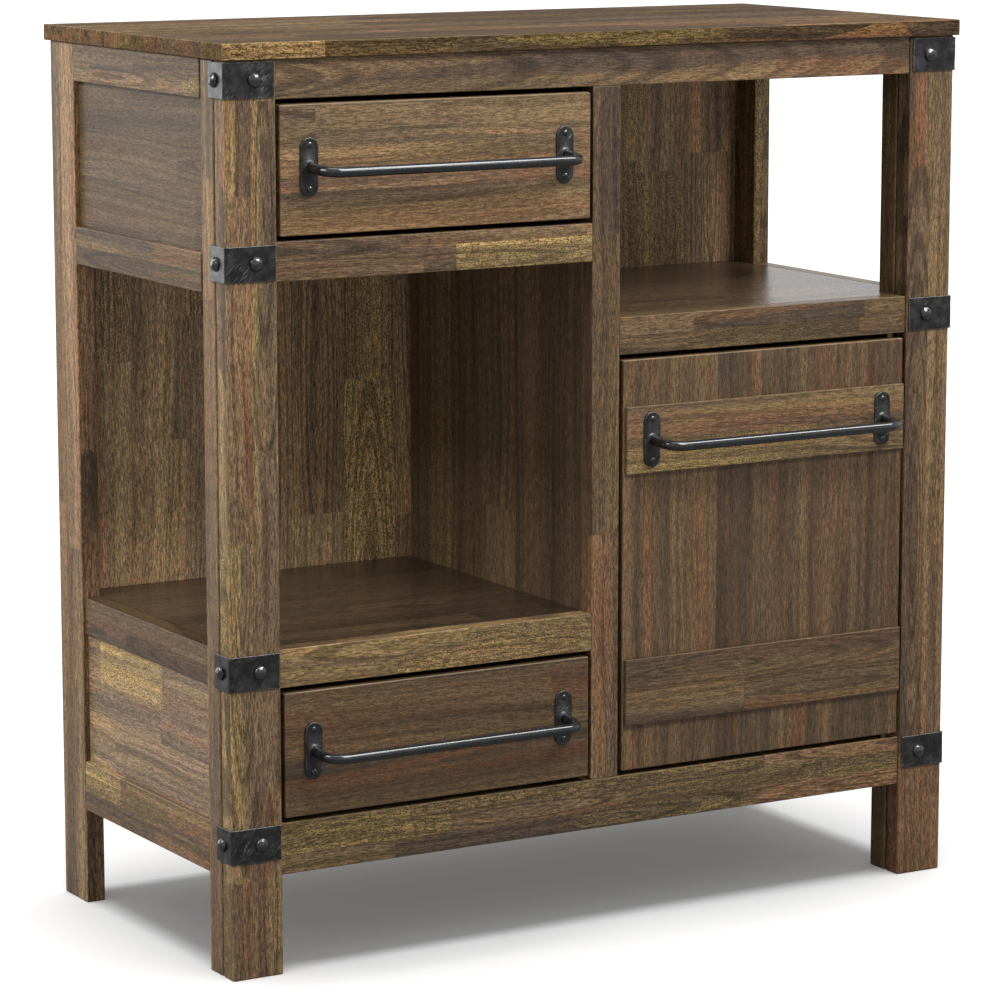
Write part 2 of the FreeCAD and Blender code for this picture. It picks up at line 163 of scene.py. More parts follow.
class Sketch:
    """Adds nodes to one node tree and links them."""

    def __init__(self, tree: bpy.types.NodeTree) -> None:
        """Keep the tree that nodes are added to."""
        self.tree = tree

    def node(self, kind: str, inputs: dict[Any, Any] | None = None, **settings: Any) -> bpy.types.Node:
        """Add a node.

        Args:
            kind: Blender's name of the node type.
            inputs: Values or sockets for its inputs, by name or number.
            settings: Properties of the node and their values.

        Returns:
            The new node.
        """
        made = self.tree.nodes.new(kind)
        for name, value in settings.items():
            setattr(made, name, value)
        for name, value in (inputs or {}).items():
            self.feed(made.inputs[name], value)
        return made

    def feed(self, target: Socket, value: Any) -> None:
        """Link a socket to an input, or set the input's own value.

        Args:
            target: Input socket.
            value: Output socket, or a plain value.
        """
        if isinstance(value, bpy.types.NodeSocket):
            self.tree.links.new(value, target)
        elif value is not None:
            target.default_value = value

    def math(self, operation: str, a: Any, b: Any = None, c: Any = None, clamp: bool = False) -> Socket:
        """Add a Math node.

        Args:
            operation: Blender's name of the operation.
            a: First value or socket.
            b: Second value or socket.
            c: Third value or socket.
            clamp: Whether the result is held between 0 and 1.

        Returns:
            The result.
        """
        made = self.node("ShaderNodeMath", {0: a, 1: b, 2: c}, operation=operation, use_clamp=clamp)
        return made.outputs[0]

    def vector(self, operation: str, a: Any, b: Any) -> Socket:
        """Result of a Vector Math node on two vectors or sockets."""
        return self.node("ShaderNodeVectorMath", {0: a, 1: b}, operation=operation).outputs[0]

    def times(self, a: Any, b: Any) -> Socket:
        """Product of two values or sockets."""
        return self.math("MULTIPLY", a, b)

    def times_plus(self, a: Any, b: Any, c: Any) -> Socket:
        """Product of two values or sockets, plus a third."""
        return self.math("MULTIPLY_ADD", a, b, c)

    def minus(self, a: Any, b: Any) -> Socket:
        """One value or socket less another."""
        return self.math("SUBTRACT", a, b)

    def between(self, share: Any, a: Any, b: Any) -> Socket:
        """Value between two others, by its share of the second."""
        return self.math("ADD", a, self.times(share, self.minus(b, a)))

    def combine(self, x: Any, y: Any, z: Any) -> Socket:
        """Vector of three values or sockets."""
        return self.node("ShaderNodeCombineXYZ", {"X": x, "Y": y, "Z": z}).outputs[0]

    def separate(self, vector: Any) -> tuple[Socket, Socket, Socket]:
        """Three values of a vector."""
        return tuple(self.node("ShaderNodeSeparateXYZ", {0: vector}).outputs)

    def noise(self, vector: Any, weave: Weave) -> Socket:
        """Add noise of one kind.

        Args:
            vector: Place on the surface, in metres.
            weave: Kind of noise.

        Returns:
            A value about 0.5.
        """
        along, across, detail, rough = weave.value
        stretched = self.vector("MULTIPLY", vector, (along, across, across))
        made = self.node("ShaderNodeTexNoise", {
            "Vector": stretched, "Scale": 1.0, "Detail": detail, "Roughness": rough},
            noise_dimensions="3D")
        return made.outputs[0]

    def band(self, value: Any, low: float, high: float, to_low: Any = 0.0, to_high: Any = 1.0) -> Socket:
        """Map a value smoothly from one range to another, held at its ends.

        Args:
            value: Value or socket.
            low: Value that gives to_low.
            high: Value that gives to_high.
            to_low: Result at and below low.
            to_high: Result at and above high.

        Returns:
            The mapped value.
        """
        made = self.node("ShaderNodeMapRange", {
            "Value": value, "From Min": low, "From Max": high, "To Min": to_low, "To Max": to_high},
            interpolation_type="SMOOTHSTEP")
        return made.outputs[0]

    def mix(self, share: Any, a: Any, b: Any, blend: str = "MIX") -> Socket:
        """Mix two colours.

        Args:
            share: How much of the second colour shows.
            a: First colour or socket.
            b: Second colour or socket.
            blend: Blender's name of the blend.

        Returns:
            The mixed colour.
        """
        made = self.node(
            "ShaderNodeMix", {"Factor": share}, data_type="RGBA", blend_type=blend, clamp_factor=True)
        for target, colour in zip((s for s in made.inputs if s.type == "RGBA"), (a, b)):
            self.feed(target, colour)
        return next(s for s in made.outputs if s.type == "RGBA")

    def lit(self, colour: Any, light: Any) -> Socket:
        """Colour made lighter or darker by a factor."""
        return self.mix(1.0, colour, self.combine(light, light, light), "MULTIPLY")

    def random(self, vector: Any) -> tuple[Socket, Socket]:
        """Random value and colour, one for each place of a whole-number vector."""
        made = self.node("ShaderNodeTexWhiteNoise", {"Vector": vector}, noise_dimensions="3D")
        return made.outputs["Value"], made.outputs["Color"]

    def attribute(self, name: str) -> tuple[Socket, Socket]:
        """Vector and value of a mesh attribute."""
        made = self.node("ShaderNodeAttribute", attribute_type="GEOMETRY", attribute_name=name)
        return made.outputs["Vector"], made.outputs["Fac"]


def new_group(
    name: str, kind: str, inputs: Sequence[tuple[str, str]], outputs: Sequence[tuple[str, str]]
) -> tuple[Sketch, bpy.types.Node, bpy.types.Node]:
    """Start a node group.

    Args:
        name: Name of the group.
        kind: Blender's name of the tree type.
        inputs: Names and socket types of its inputs.
        outputs: Names and socket types of its outputs.

    Returns:
        A sketch on the group, its input node and its output node.
    """
    tree = bpy.data.node_groups.new(name, kind)
    for label, socket in inputs:
        tree.interface.new_socket(label, in_out="INPUT", socket_type=socket)
    for label, socket in outputs:
        tree.interface.new_socket(label, in_out="OUTPUT", socket_type=socket)
    sketch = Sketch(tree)
    return sketch, sketch.node("NodeGroupInput"), sketch.node("NodeGroupOutput")


COLOUR = "NodeSocketColor"
VALUE = "NodeSocketFloat"
VECTOR = "NodeSocketVector"

ROW_SALT = 3.0
ROW_SHIFT = 7.0
STAVE_SHIFT: Triple = (9.0, 7.0, 5.0)
GILDING_SHIFT: Triple = (3.1, 1.7, 0.9)
PATCH_SHIFT: Triple = (5.3, 2.9, 4.1)
SWAY_ACROSS = 30 * MM
SWAY_THROUGH = 18 * MM
DARKEST = 0.15
OVAL_SLENDER = 0.075
RINGS_IN_METRE = 330.0
RING_SHIFT = 90.0
SCRATCH_TURN: Triple = (0.5, 0.7, 0.4)


def grain_group() -> bpy.types.NodeTree:
    """Build the node group that paints acacia staves and their grain.

    Returns:
        A group from a board's own coordinates to colour, gloss and height.
    """
    sketch, given, result = new_group(
        "Acacia grain", "ShaderNodeTree",
        [("Grain", VECTOR), ("Board", VECTOR), ("Tone", VECTOR), ("Figure", VECTOR), ("Gilt", VECTOR),
         ("Gilt end", VALUE), ("Rim", VALUE), ("Brown", COLOUR), ("Umber", COLOUR), ("Gold", COLOUR),
         ("Edge wear and highlight", COLOUR), ("Russet", COLOUR), ("Pore", COLOUR), ("Pore share", VALUE), ("Shade", VALUE)],
        [("Color", COLOUR), ("Gloss", VALUE), ("Height", VALUE)],
    )
    along, across, _ = sketch.separate(given.outputs["Grain"])
    seed, stave_width, stave_length = sketch.separate(given.outputs["Board"])
    gold_share, russet_share, umber_share = sketch.separate(given.outputs["Tone"])
    flat_share, contrast, gilding_light = sketch.separate(given.outputs["Figure"])
    brown, umber, gold, russet = (given.outputs[name] for name in ("Brown", "Umber", "Gold", "Russet"))

    rows = sketch.math("DIVIDE", across, stave_width)
    row = sketch.math("FLOOR", rows)
    row_value, _ = sketch.random(sketch.combine(row, seed, ROW_SALT))
    step = sketch.times_plus(row_value, ROW_SHIFT, sketch.math("DIVIDE", along, stave_length))
    stave_value, stave_colour = sketch.random(sketch.combine(row, sketch.math("FLOOR", step), seed))
    pick_gold, pick_russet, pick_umber = sketch.separate(stave_colour)
    gilded = within(sketch, along, across, given)
    is_gold = sketch.math("MAXIMUM", gilded, sketch.math("LESS_THAN", pick_gold, gold_share))
    is_russet = sketch.math("LESS_THAN", pick_russet, russet_share)
    is_umber = sketch.math("LESS_THAN", pick_umber, umber_share)
    is_flat_sawn = sketch.math("GREATER_THAN", pick_umber, sketch.minus(1.0, flat_share))

    shift = sketch.vector("MULTIPLY", stave_colour, STAVE_SHIFT)
    moved = sketch.vector("ADD", given.outputs["Grain"], shift)
    sway = sketch.noise(moved, Weave.SWAY)
    bend = sketch.combine(0.0, sketch.times(sway, SWAY_ACROSS), sketch.times(sway, SWAY_THROUGH))
    bent = sketch.vector("ADD", moved, bend)
    streak = sketch.noise(bent, Weave.STREAK)
    gilding = sketch.noise(sketch.vector("ADD", bent, GILDING_SHIFT), Weave.GILDING)
    patch = sketch.noise(sketch.vector("ADD", bent, PATCH_SHIFT), Weave.PATCH)
    straight = sketch.noise(bent, Weave.STRAIGHT)
    oval = oval_figure(sketch, rows, step, stave_width, stave_length, stave_value)
    ring = sketch.between(is_flat_sawn, straight, oval)
    fibre = sketch.noise(bent, Weave.FIBRE)
    pore = sketch.noise(moved, Weave.PORE)
    speckle = sketch.noise(moved, Weave.SPECKLE)
    shimmer = sketch.noise(moved, Weave.SHIMMER)

    tone = sketch.mix(sketch.band(streak, 0.42, 0.58), umber, brown)
    tone = sketch.mix(sketch.times(is_umber, 0.55), tone, umber)
    red = sketch.times(sketch.band(patch, 0.48, 0.62), sketch.times_plus(is_russet, 0.45, 0.34))
    tone = sketch.mix(red, tone, russet)
    vein_share = sketch.times_plus(is_gold, 0.40, sketch.times_plus(gold_share, 0.70, 0.18))
    veins = sketch.times(sketch.band(gilding, 0.46, 0.60), vein_share)
    tone = sketch.mix(sketch.times_plus(is_gold, 0.42, veins), tone, gold)
    bars = sketch.times(sketch.band(shimmer, 0.52, 0.66), sketch.band(patch, 0.54, 0.66))
    tone = sketch.mix(sketch.times(bars, 0.50), tone, russet)
    flecks = sketch.times(sketch.band(speckle, 0.55, 0.70), 0.12)
    tone = sketch.mix(flecks, tone, gold)

    lines = sketch.band(ring, 0.36, 0.58, sketch.times_plus(is_flat_sawn, -0.12, 0.70), 1.18)
    threads = sketch.band(fibre, 0.36, 0.64, 0.50, 1.56)
    stave_light = sketch.times_plus(stave_value, 0.52, 0.76)
    light = sketch.times(sketch.times(lines, threads), stave_light)
    light = sketch.times_plus(sketch.minus(light, 1.0), contrast, 1.0)
    light = sketch.math("MAXIMUM", DARKEST, light)
    light = sketch.times(light, sketch.between(gilded, given.outputs["Shade"], gilding_light))
    tone = sketch.lit(tone, light)
    pore_share = sketch.times_plus(is_gold, 0.34, given.outputs["Pore share"])
    dark = sketch.times(sketch.band(sketch.between(is_gold, pore, speckle), 0.50, 0.64), pore_share)
    tone = sketch.mix(dark, tone, given.outputs["Pore"])
    # Lighter edge colour on the rims: edge wear, plus painted highlight where the edges face up.
    worn_and_lit_edge = sketch.times(given.outputs["Rim"], sketch.band(patch, 0.40, 0.60, 0.35, 0.75))
    tone = sketch.mix(worn_and_lit_edge, tone, given.outputs["Edge wear and highlight"])

    sketch.feed(result.inputs["Color"], tone)
    sketch.feed(result.inputs["Gloss"], sketch.times_plus(fibre, 0.6, sketch.times(dark, 0.5)))
    sketch.feed(result.inputs["Height"], sketch.times_plus(pore, -0.7, fibre))
    return sketch.tree


def within(sketch: Sketch, along: Socket, across: Socket, given: bpy.types.Node) -> Socket:
    """Mask of the golden patch that a board may have.

    Args:
        sketch: Sketch on the wood's group.
        along: Place along the board.
        across: Place across the board.
        given: Input node of the group, with Gilt and Gilt end.

    Returns:
        1 inside the patch and 0 outside it.
    """
    start, stop, low = sketch.separate(given.outputs["Gilt"])
    mask = sketch.math("GREATER_THAN", along, start)
    mask = sketch.times(mask, sketch.math("LESS_THAN", along, stop))
    mask = sketch.times(mask, sketch.math("GREATER_THAN", across, low))
    return sketch.times(mask, sketch.math("LESS_THAN", across, given.outputs["Gilt end"]))


def oval_figure(
    sketch: Sketch, rows: Socket, step: Socket, width: Socket, length: Socket, pick: Socket
) -> Socket:
    """Rings that close in long ovals about the middle of a flat-sawn stave.

    Args:
        sketch: Sketch on the wood's group.
        rows: Place across the board, in staves.
        step: Place along the board, in staves.
        width: Width of a stave.
        length: Length of a stave.
        pick: Random value of the stave.

    Returns:
        A value about 0.5.
    """
    aside = sketch.times(sketch.minus(sketch.math("FRACT", rows), 0.5), width)
    ahead = sketch.times(sketch.minus(sketch.math("FRACT", step), pick), length)
    ahead = sketch.times(ahead, OVAL_SLENDER)
    far = sketch.math("SQRT", sketch.times_plus(ahead, ahead, sketch.times(aside, aside)))
    rings = sketch.times_plus(far, RINGS_IN_METRE, sketch.times(pick, RING_SHIFT))
    made = sketch.node(
        "ShaderNodeTexNoise", {"W": rings, "Scale": 1.0, "Detail": 1.0}, noise_dimensions="1D")
    return made.outputs[0]


def metal_group() -> bpy.types.NodeTree:
    """Build the node group that mottles, scuffs and scratches a metal finish.

    Returns:
        A group from a place on the metal to colour, roughness and height.
    """
    sketch, given, result = new_group(
        "Worn metal", "ShaderNodeTree",
        [("Place", VECTOR), ("Rim", VALUE), ("Base", COLOUR), ("Bloom", COLOUR), ("Bright", COLOUR),
         ("Roughness", VALUE), ("Scratches", VALUE), ("Brush", VECTOR)],
        [("Color", COLOUR), ("Roughness", VALUE), ("Height", VALUE)],
    )
    place = given.outputs["Place"]
    cloud = sketch.noise(place, Weave.CLOUD)
    grit = sketch.noise(place, Weave.GRIT)
    brush = sketch.noise(sketch.vector("MULTIPLY", place, given.outputs["Brush"]), Weave.BRUSHED)
    turned = sketch.node("ShaderNodeMapping", {"Vector": place, "Rotation": SCRATCH_TURN})
    hair = sketch.noise(turned.outputs[0], Weave.HAIR)
    zone = sketch.noise(place, Weave.ZONE)
    scratched = sketch.times(sketch.band(zone, 0.46, 0.60), given.outputs["Scratches"])
    scratch = sketch.times(sketch.band(hair, 0.62, 0.70), scratched)
    tone = sketch.mix(sketch.band(cloud, 0.40, 0.68), given.outputs["Base"], given.outputs["Bloom"])
    tone = sketch.lit(tone, sketch.band(brush, 0.25, 0.75, 0.82, 1.18))
    edge_lightening = sketch.times(given.outputs["Rim"], sketch.band(cloud, 0.38, 0.60, 0.45, 0.75))
    tone = sketch.mix(sketch.math("MAXIMUM", scratch, edge_lightening), tone, given.outputs["Bright"])
    mottle = sketch.band(cloud, 0.3, 0.7, 0.75, 1.375)
    rough = sketch.math("MULTIPLY", given.outputs["Roughness"], mottle, clamp=True)
    height = sketch.times_plus(grit, 0.35, sketch.times_plus(scratch, -0.5, cloud))
    sketch.feed(result.inputs["Color"], tone)
    sketch.feed(result.inputs["Roughness"], rough)
    sketch.feed(result.inputs["Height"], height)
    return sketch.tree


class Shared:
    """Node groups that several finishes place in their materials."""

    grain: bpy.types.NodeTree
    metal: bpy.types.NodeTree

    @classmethod
    def build(cls) -> None:
        """Build the groups once."""
        cls.grain = grain_group()
        cls.metal = metal_group()


def new_material(name: str) -> tuple[bpy.types.Material, Sketch, bpy.types.Node]:
    """Start a material with one Principled shader.

    Args:
        name: Name of the material.

    Returns:
        The material, a sketch on its tree and the shader's node.
    """
    material = bpy.data.materials.new(name)
    material.use_nodes = True
    material.node_tree.nodes.clear()
    sketch = Sketch(material.node_tree)
    shader = sketch.node("ShaderNodeBsdfPrincipled")
    sketch.node("ShaderNodeOutputMaterial", {"Surface": shader.outputs[0]})
    return material, sketch, shader


def bump(
    sketch: Sketch, shader: bpy.types.Node, height: Socket, strength: float, distance: float
) -> None:
    """Feed a shader's normal from a height.

    Args:
        sketch: Sketch on the material's tree.
        shader: Shader whose normal is bent.
        height: Height over the surface.
        strength: Share of the effect.
        distance: Depth of a height of 1, in metres.
    """
    made = sketch.node("ShaderNodeBump", {"Strength": strength, "Distance": distance, "Height": height})
    sketch.feed(shader.inputs["Normal"], made.outputs[0])


@dataclass(frozen=True)
class AcaciaFinish:
    """Stained and lacquered acacia, painted stave by stave along each board's grain."""

    name: str
    slot: Slot
    brown: Colour
    umber: Colour
    gold: Colour
    russet: Colour
    # Colour of the rims: edge wear, plus painted highlight on edges that face up.
    edge: Colour
    pore: Colour
    pore_share: float
    roughness: float
    specular: float
    rough_drop: float = 0.07
    rough_span: float = 0.20
    relief: float = 0.30
    relief_depth: float = 0.6 * MM

    def material(self) -> bpy.types.Material:
        """Build the material.

        Returns:
            Wood that reads the attributes that a board writes on its mesh.
        """
        material, sketch, shader = new_material(self.name)
        group = sketch.node("ShaderNodeGroup", node_tree=Shared.grain, inputs={
            "Grain": sketch.attribute("grain")[0],
            "Board": sketch.attribute("board")[0],
            "Tone": sketch.attribute("tone")[0],
            "Figure": sketch.attribute("figure")[0],
            "Gilt": sketch.attribute("gilt")[0],
            "Gilt end": sketch.attribute("gilt_end")[1],
            "Rim": sketch.attribute("rim")[1],
            "Shade": sketch.attribute("shade")[1],
            "Brown": self.brown,
            "Umber": self.umber,
            "Gold": self.gold,
            "Edge wear and highlight": self.edge,
            "Russet": self.russet,
            "Pore": self.pore,
            "Pore share": self.pore_share,
        })
        sketch.feed(shader.inputs["Base Color"], group.outputs["Color"])
        low = self.roughness - self.rough_drop
        rough = sketch.band(group.outputs["Gloss"], 0.1, 0.8, low, low + self.rough_span)
        sketch.feed(shader.inputs["Roughness"], rough)
        shader.inputs["Specular IOR Level"].default_value = self.specular
        bump(sketch, shader, group.outputs["Height"], self.relief, self.relief_depth)
        return material


@dataclass(frozen=True)
class MetalFinish:
    """Painted or plated metal with mottling, rubbed edges and scratches."""

    name: str
    slot: Slot
    base: Colour
    bloom: Colour
    bright: Colour
    roughness: float
    metallic: float
    scratches: float
    specular: float
    brush: Triple = (60.0, 60.0, 60.0)
    relief: float = 0.25
    relief_depth: float = 0.4 * MM

    def material(self) -> bpy.types.Material:
        """Build the material.

        Returns:
            Metal that reads a piece's object coordinates and its rim attribute.
        """
        material, sketch, shader = new_material(self.name)
        group = sketch.node("ShaderNodeGroup", node_tree=Shared.metal, inputs={
            "Place": sketch.node("ShaderNodeTexCoord").outputs["Object"],
            "Rim": sketch.attribute("rim")[1],
            "Base": self.base,
            "Bloom": self.bloom,
            "Bright": self.bright,
            "Roughness": self.roughness,
            "Scratches": self.scratches,
            "Brush": self.brush,
        })
        sketch.feed(shader.inputs["Base Color"], group.outputs["Color"])
        sketch.feed(shader.inputs["Roughness"], group.outputs["Roughness"])
        shader.inputs["Metallic"].default_value = self.metallic
        shader.inputs["Specular IOR Level"].default_value = self.specular
        bump(sketch, shader, group.outputs["Height"], self.relief, self.relief_depth)
        return material


def grey(value: float) -> Colour:
    """Neutral colour of one brightness."""
    return (value, value, value, 1.0)


OUTER = AcaciaFinish(
    name="acacia_outer", slot=Slot.OUTER,
    brown=(0.205, 0.124, 0.064, 1), umber=(0.086, 0.057, 0.040, 1), gold=(0.360, 0.242, 0.090, 1),
    russet=(0.235, 0.096, 0.042, 1), edge=(0.300, 0.215, 0.130, 1), pore=(0.034, 0.023, 0.014, 1),
    pore_share=0.46, roughness=0.36, specular=0.26)
TOP = dataclasses.replace(OUTER, name="acacia_top", roughness=0.62, specular=0.02)
# Paler, greyer copy of the outer wood for the left panels: painted sheen of the light that grazes that
# side.
SIDE_PAINTED_SHEEN = dataclasses.replace(
    OUTER, name="acacia_side_painted_sheen", brown=(0.210, 0.138, 0.082, 1), umber=(0.128, 0.088, 0.060, 1),
    russet=(0.230, 0.112, 0.060, 1))
INNER = AcaciaFinish(
    name="acacia_inner", slot=Slot.INNER,
    brown=(0.160, 0.103, 0.056, 1), umber=(0.086, 0.060, 0.039, 1), gold=(0.250, 0.174, 0.078, 1),
    russet=(0.160, 0.080, 0.040, 1), edge=(0.200, 0.140, 0.080, 1), pore=(0.026, 0.019, 0.012, 1),
    pore_share=0.42, roughness=0.44, specular=0.25)
SHELF = dataclasses.replace(
    INNER, name="acacia_shelf",
    brown=(0.120, 0.074, 0.043, 1), umber=(0.078, 0.052, 0.034, 1), gold=(0.160, 0.106, 0.052, 1),
    russet=(0.130, 0.068, 0.036, 1), pore=(0.040, 0.027, 0.018, 1),
    pore_share=0.18, roughness=0.25, specular=0.36)
IRON = MetalFinish(
    name="black_iron", slot=Slot.IRON,
    base=grey(0.004), bloom=grey(0.018), bright=(0.26, 0.255, 0.25, 1),
    roughness=0.32, metallic=0.0, scratches=0.42, specular=0.34, relief=0.80)
BAR_IRON = MetalFinish(
    name="black_iron_bar", slot=Slot.IRON,
    base=(0.006, 0.007, 0.008, 1), bloom=(0.011, 0.012, 0.013, 1), bright=grey(0.06),
    roughness=0.13, metallic=0.0, scratches=0.12, specular=0.44, relief=0.010)
SCREW_IRON = dataclasses.replace(BAR_IRON, name="black_iron_screw", roughness=0.15, specular=0.70)
ZINC = MetalFinish(
    name="zinc_steel", slot=Slot.ZINC,
    base=(0.50, 0.51, 0.52, 1), bloom=(0.60, 0.61, 0.61, 1), bright=grey(0.75),
    roughness=0.34, metallic=1.0, scratches=0.3, specular=0.5, brush=(900.0, 14.0, 900.0), relief=0.12)
BRASS = MetalFinish(
    name="brass_bush", slot=Slot.BRASS,
    base=(0.09, 0.06, 0.028, 1), bloom=(0.06, 0.04, 0.020, 1), bright=(0.20, 0.14, 0.07, 1),
    roughness=0.40, metallic=1.0, scratches=0.2, specular=0.5, brush=(90.0, 90.0, 700.0), relief=0.10)
PLASTIC = MetalFinish(
    name="catch_plastic", slot=Slot.PLASTIC,
    base=(0.052, 0.040, 0.032, 1), bloom=(0.062, 0.049, 0.040, 1), bright=grey(0.10),
    roughness=0.48, metallic=0.0, scratches=0.1, specular=0.4, relief=0.20)


def add_object(name: str, data: bpy.types.ID) -> bpy.types.Object:
    """Put a new object into the scene.

    Args:
        name: Name of the object.
        data: Its mesh, light or camera.

    Returns:
        The object.
    """
    made = bpy.data.objects.new(name, data)
    bpy.context.scene.collection.objects.link(made)
    return made


def write_attribute(mesh: bpy.types.Mesh, name: str, values: np.ndarray) -> None:
    """Write one value or one vector for each point of a mesh.

    Args:
        mesh: The mesh.
        name: Name of the attribute.
        values: The values, or the vectors as rows.
    """
    kind, part = ("FLOAT_VECTOR", "vector") if values.ndim > 1 else ("FLOAT", "value")
    slot = mesh.attributes.new(name, kind, "POINT")
    slot.data.foreach_set(part, values.astype(np.float32).ravel())


@dataclass
class Surface:
    """Points and faces of one piece, with what its finish reads."""

    points: np.ndarray
    normals: np.ndarray
    quads: np.ndarray
    rim: np.ndarray

    def mesh(self, name: str) -> bpy.types.Mesh:
        """Make a mesh with smooth shading and the surface's own normals.

        Args:
            name: Name of the mesh.

        Returns:
            The mesh, with its rim attribute.
        """
        made = bpy.data.meshes.new(name)
        made.from_pydata(self.points.tolist(), [], self.quads.tolist())
        made.shade_smooth()
        write_attribute(made, "rim", self.rim)
        made.normals_split_custom_set_from_vertices(self.normals.tolist())
        return made

    def piece(self, name: str) -> bpy.types.Object:
        """Put the surface into the scene as an object."""
        return add_object(name, self.mesh(name))


def grid_stops(length: float, radius: float, cell: float, arc_steps: int) -> np.ndarray:
    """Places of the grid lines along one edge of a rounded block.

    Args:
        length: Length of the edge.
        radius: Radius of the rounding at both ends.
        cell: Distance between lines on the flat.
        arc_steps: Lines in each eighth of a turn.

    Returns:
        Distances from the start of the edge.
    """
    lean = np.tan(np.linspace(math.pi / 4, 0.0, arc_steps + 1))[:-1]
    start = radius * (1 - lean)
    cells = max(1, round((length - 2 * radius) / cell))
    flat = np.linspace(radius, length - radius, cells + 1)
    return np.concatenate([start, flat, (length - start)[::-1]])


def rounded_block(
    size: Sequence[float], radius: float, cell: Sequence[float], arc_steps: int = 2
) -> Surface:
    """Block from the origin, with every edge rounded and a grid on its faces.

    Args:
        size: Lengths along X, Y and Z.
        radius: Radius of the edges.
        cell: Distance between grid lines along X, Y and Z.
        arc_steps: Grid lines in each eighth of a turn.

    Returns:
        The closed surface.
    """
    stops = [grid_stops(size[a], radius, cell[a], arc_steps) for a in range(3)]
    count = [len(s) for s in stops]
    index = np.full(count, -1)
    shell = np.zeros(count, bool)
    for axis in range(3):
        shell[(slice(None),) * axis + (0,)] = True
        shell[(slice(None),) * axis + (-1,)] = True
    index[shell] = np.arange(shell.sum())
    quads = []
    for axis in range(3):
        for end in (0, -1):
            sheet = index[(slice(None),) * axis + (end,)]
            corners = [sheet[:-1, :-1], sheet[1:, :-1], sheet[1:, 1:], sheet[:-1, 1:]]
            if (end == 0) != (axis == 1):
                corners.reverse()
            quads.append(np.stack([c.ravel() for c in corners], 1))
    places = np.argwhere(shell)
    raw = np.stack([stops[a][places[:, a]] for a in range(3)], 1)
    core = np.clip(raw, radius, np.array(size) - radius)
    lean = raw - core
    normals = lean / np.linalg.norm(lean, axis=1)[:, None]
    flat = np.abs(normals).max(1)
    rim = np.clip((1 - flat) / (1 - math.sqrt(0.5)), 0, 1)
    return Surface(core + radius * normals, normals, np.concatenate(quads), rim)


WAVES = 7
KNOCK_PACE = 3.1
KNOCK_FROM = 0.18


def worked(surface: Surface, wave: Sequence[float], depth: float, nick: float, seed: int) -> Surface:
    """Give a surface the slight waves and knocked edges of hand work.

    Args:
        surface: Surface to work.
        wave: Shortest wavelength along X, Y and Z.
        depth: Height of the waves.
        nick: Depth of the knocks along its edges.
        seed: Seed of the random waves.

    Returns:
        The worked surface, with normals that follow the waves.
    """
    dice = np.random.default_rng(seed)
    height = np.zeros(len(surface.points))
    slope = np.zeros_like(surface.points)
    knock = np.zeros(len(surface.points))
    for _ in range(WAVES):
        turn = dice.uniform(-1, 1, 3) * (2 * math.pi / np.array(wave))
        phase = surface.points @ turn + dice.uniform(0, 2 * math.pi)
        height += depth / WAVES * np.sin(phase)
        slope += depth / WAVES * np.cos(phase)[:, None] * turn
        knock += np.sin(surface.points @ (turn * KNOCK_PACE) + dice.uniform(0, 2 * math.pi)) / WAVES
    height -= nick * surface.rim * np.clip(knock - KNOCK_FROM, 0, 1)
    inward = slope - (slope * surface.normals).sum(1)[:, None] * surface.normals
    normals = surface.normals - inward
    normals /= np.linalg.norm(normals, axis=1)[:, None]
    points = surface.points + height[:, None] * surface.normals
    return Surface(points, normals, surface.quads, surface.rim)


@dataclass(frozen=True)
class Staves:
    """Glued-up staves of a board: their width and mean length."""

    width: float
    length: float


@dataclass(frozen=True)
class Patch:
    """Golden patch of a board: its ends along the board and its sides across it."""

    start: float = 0.0
    stop: float = 0.0
    low: float = 0.0
    high: float = 0.0


CELL = 9 * MM
CELL_ALONG = 12 * MM
WAVE = 70 * MM
WAVE_ALONG = 260 * MM
# Share of the lighter edge colour on a board's rims: edge wear on every edge, plus painted highlight on
# edges that face up.
EDGE_WEAR_LEAST = 0.15
PAINTED_HIGHLIGHT_UPWARD = 1.2


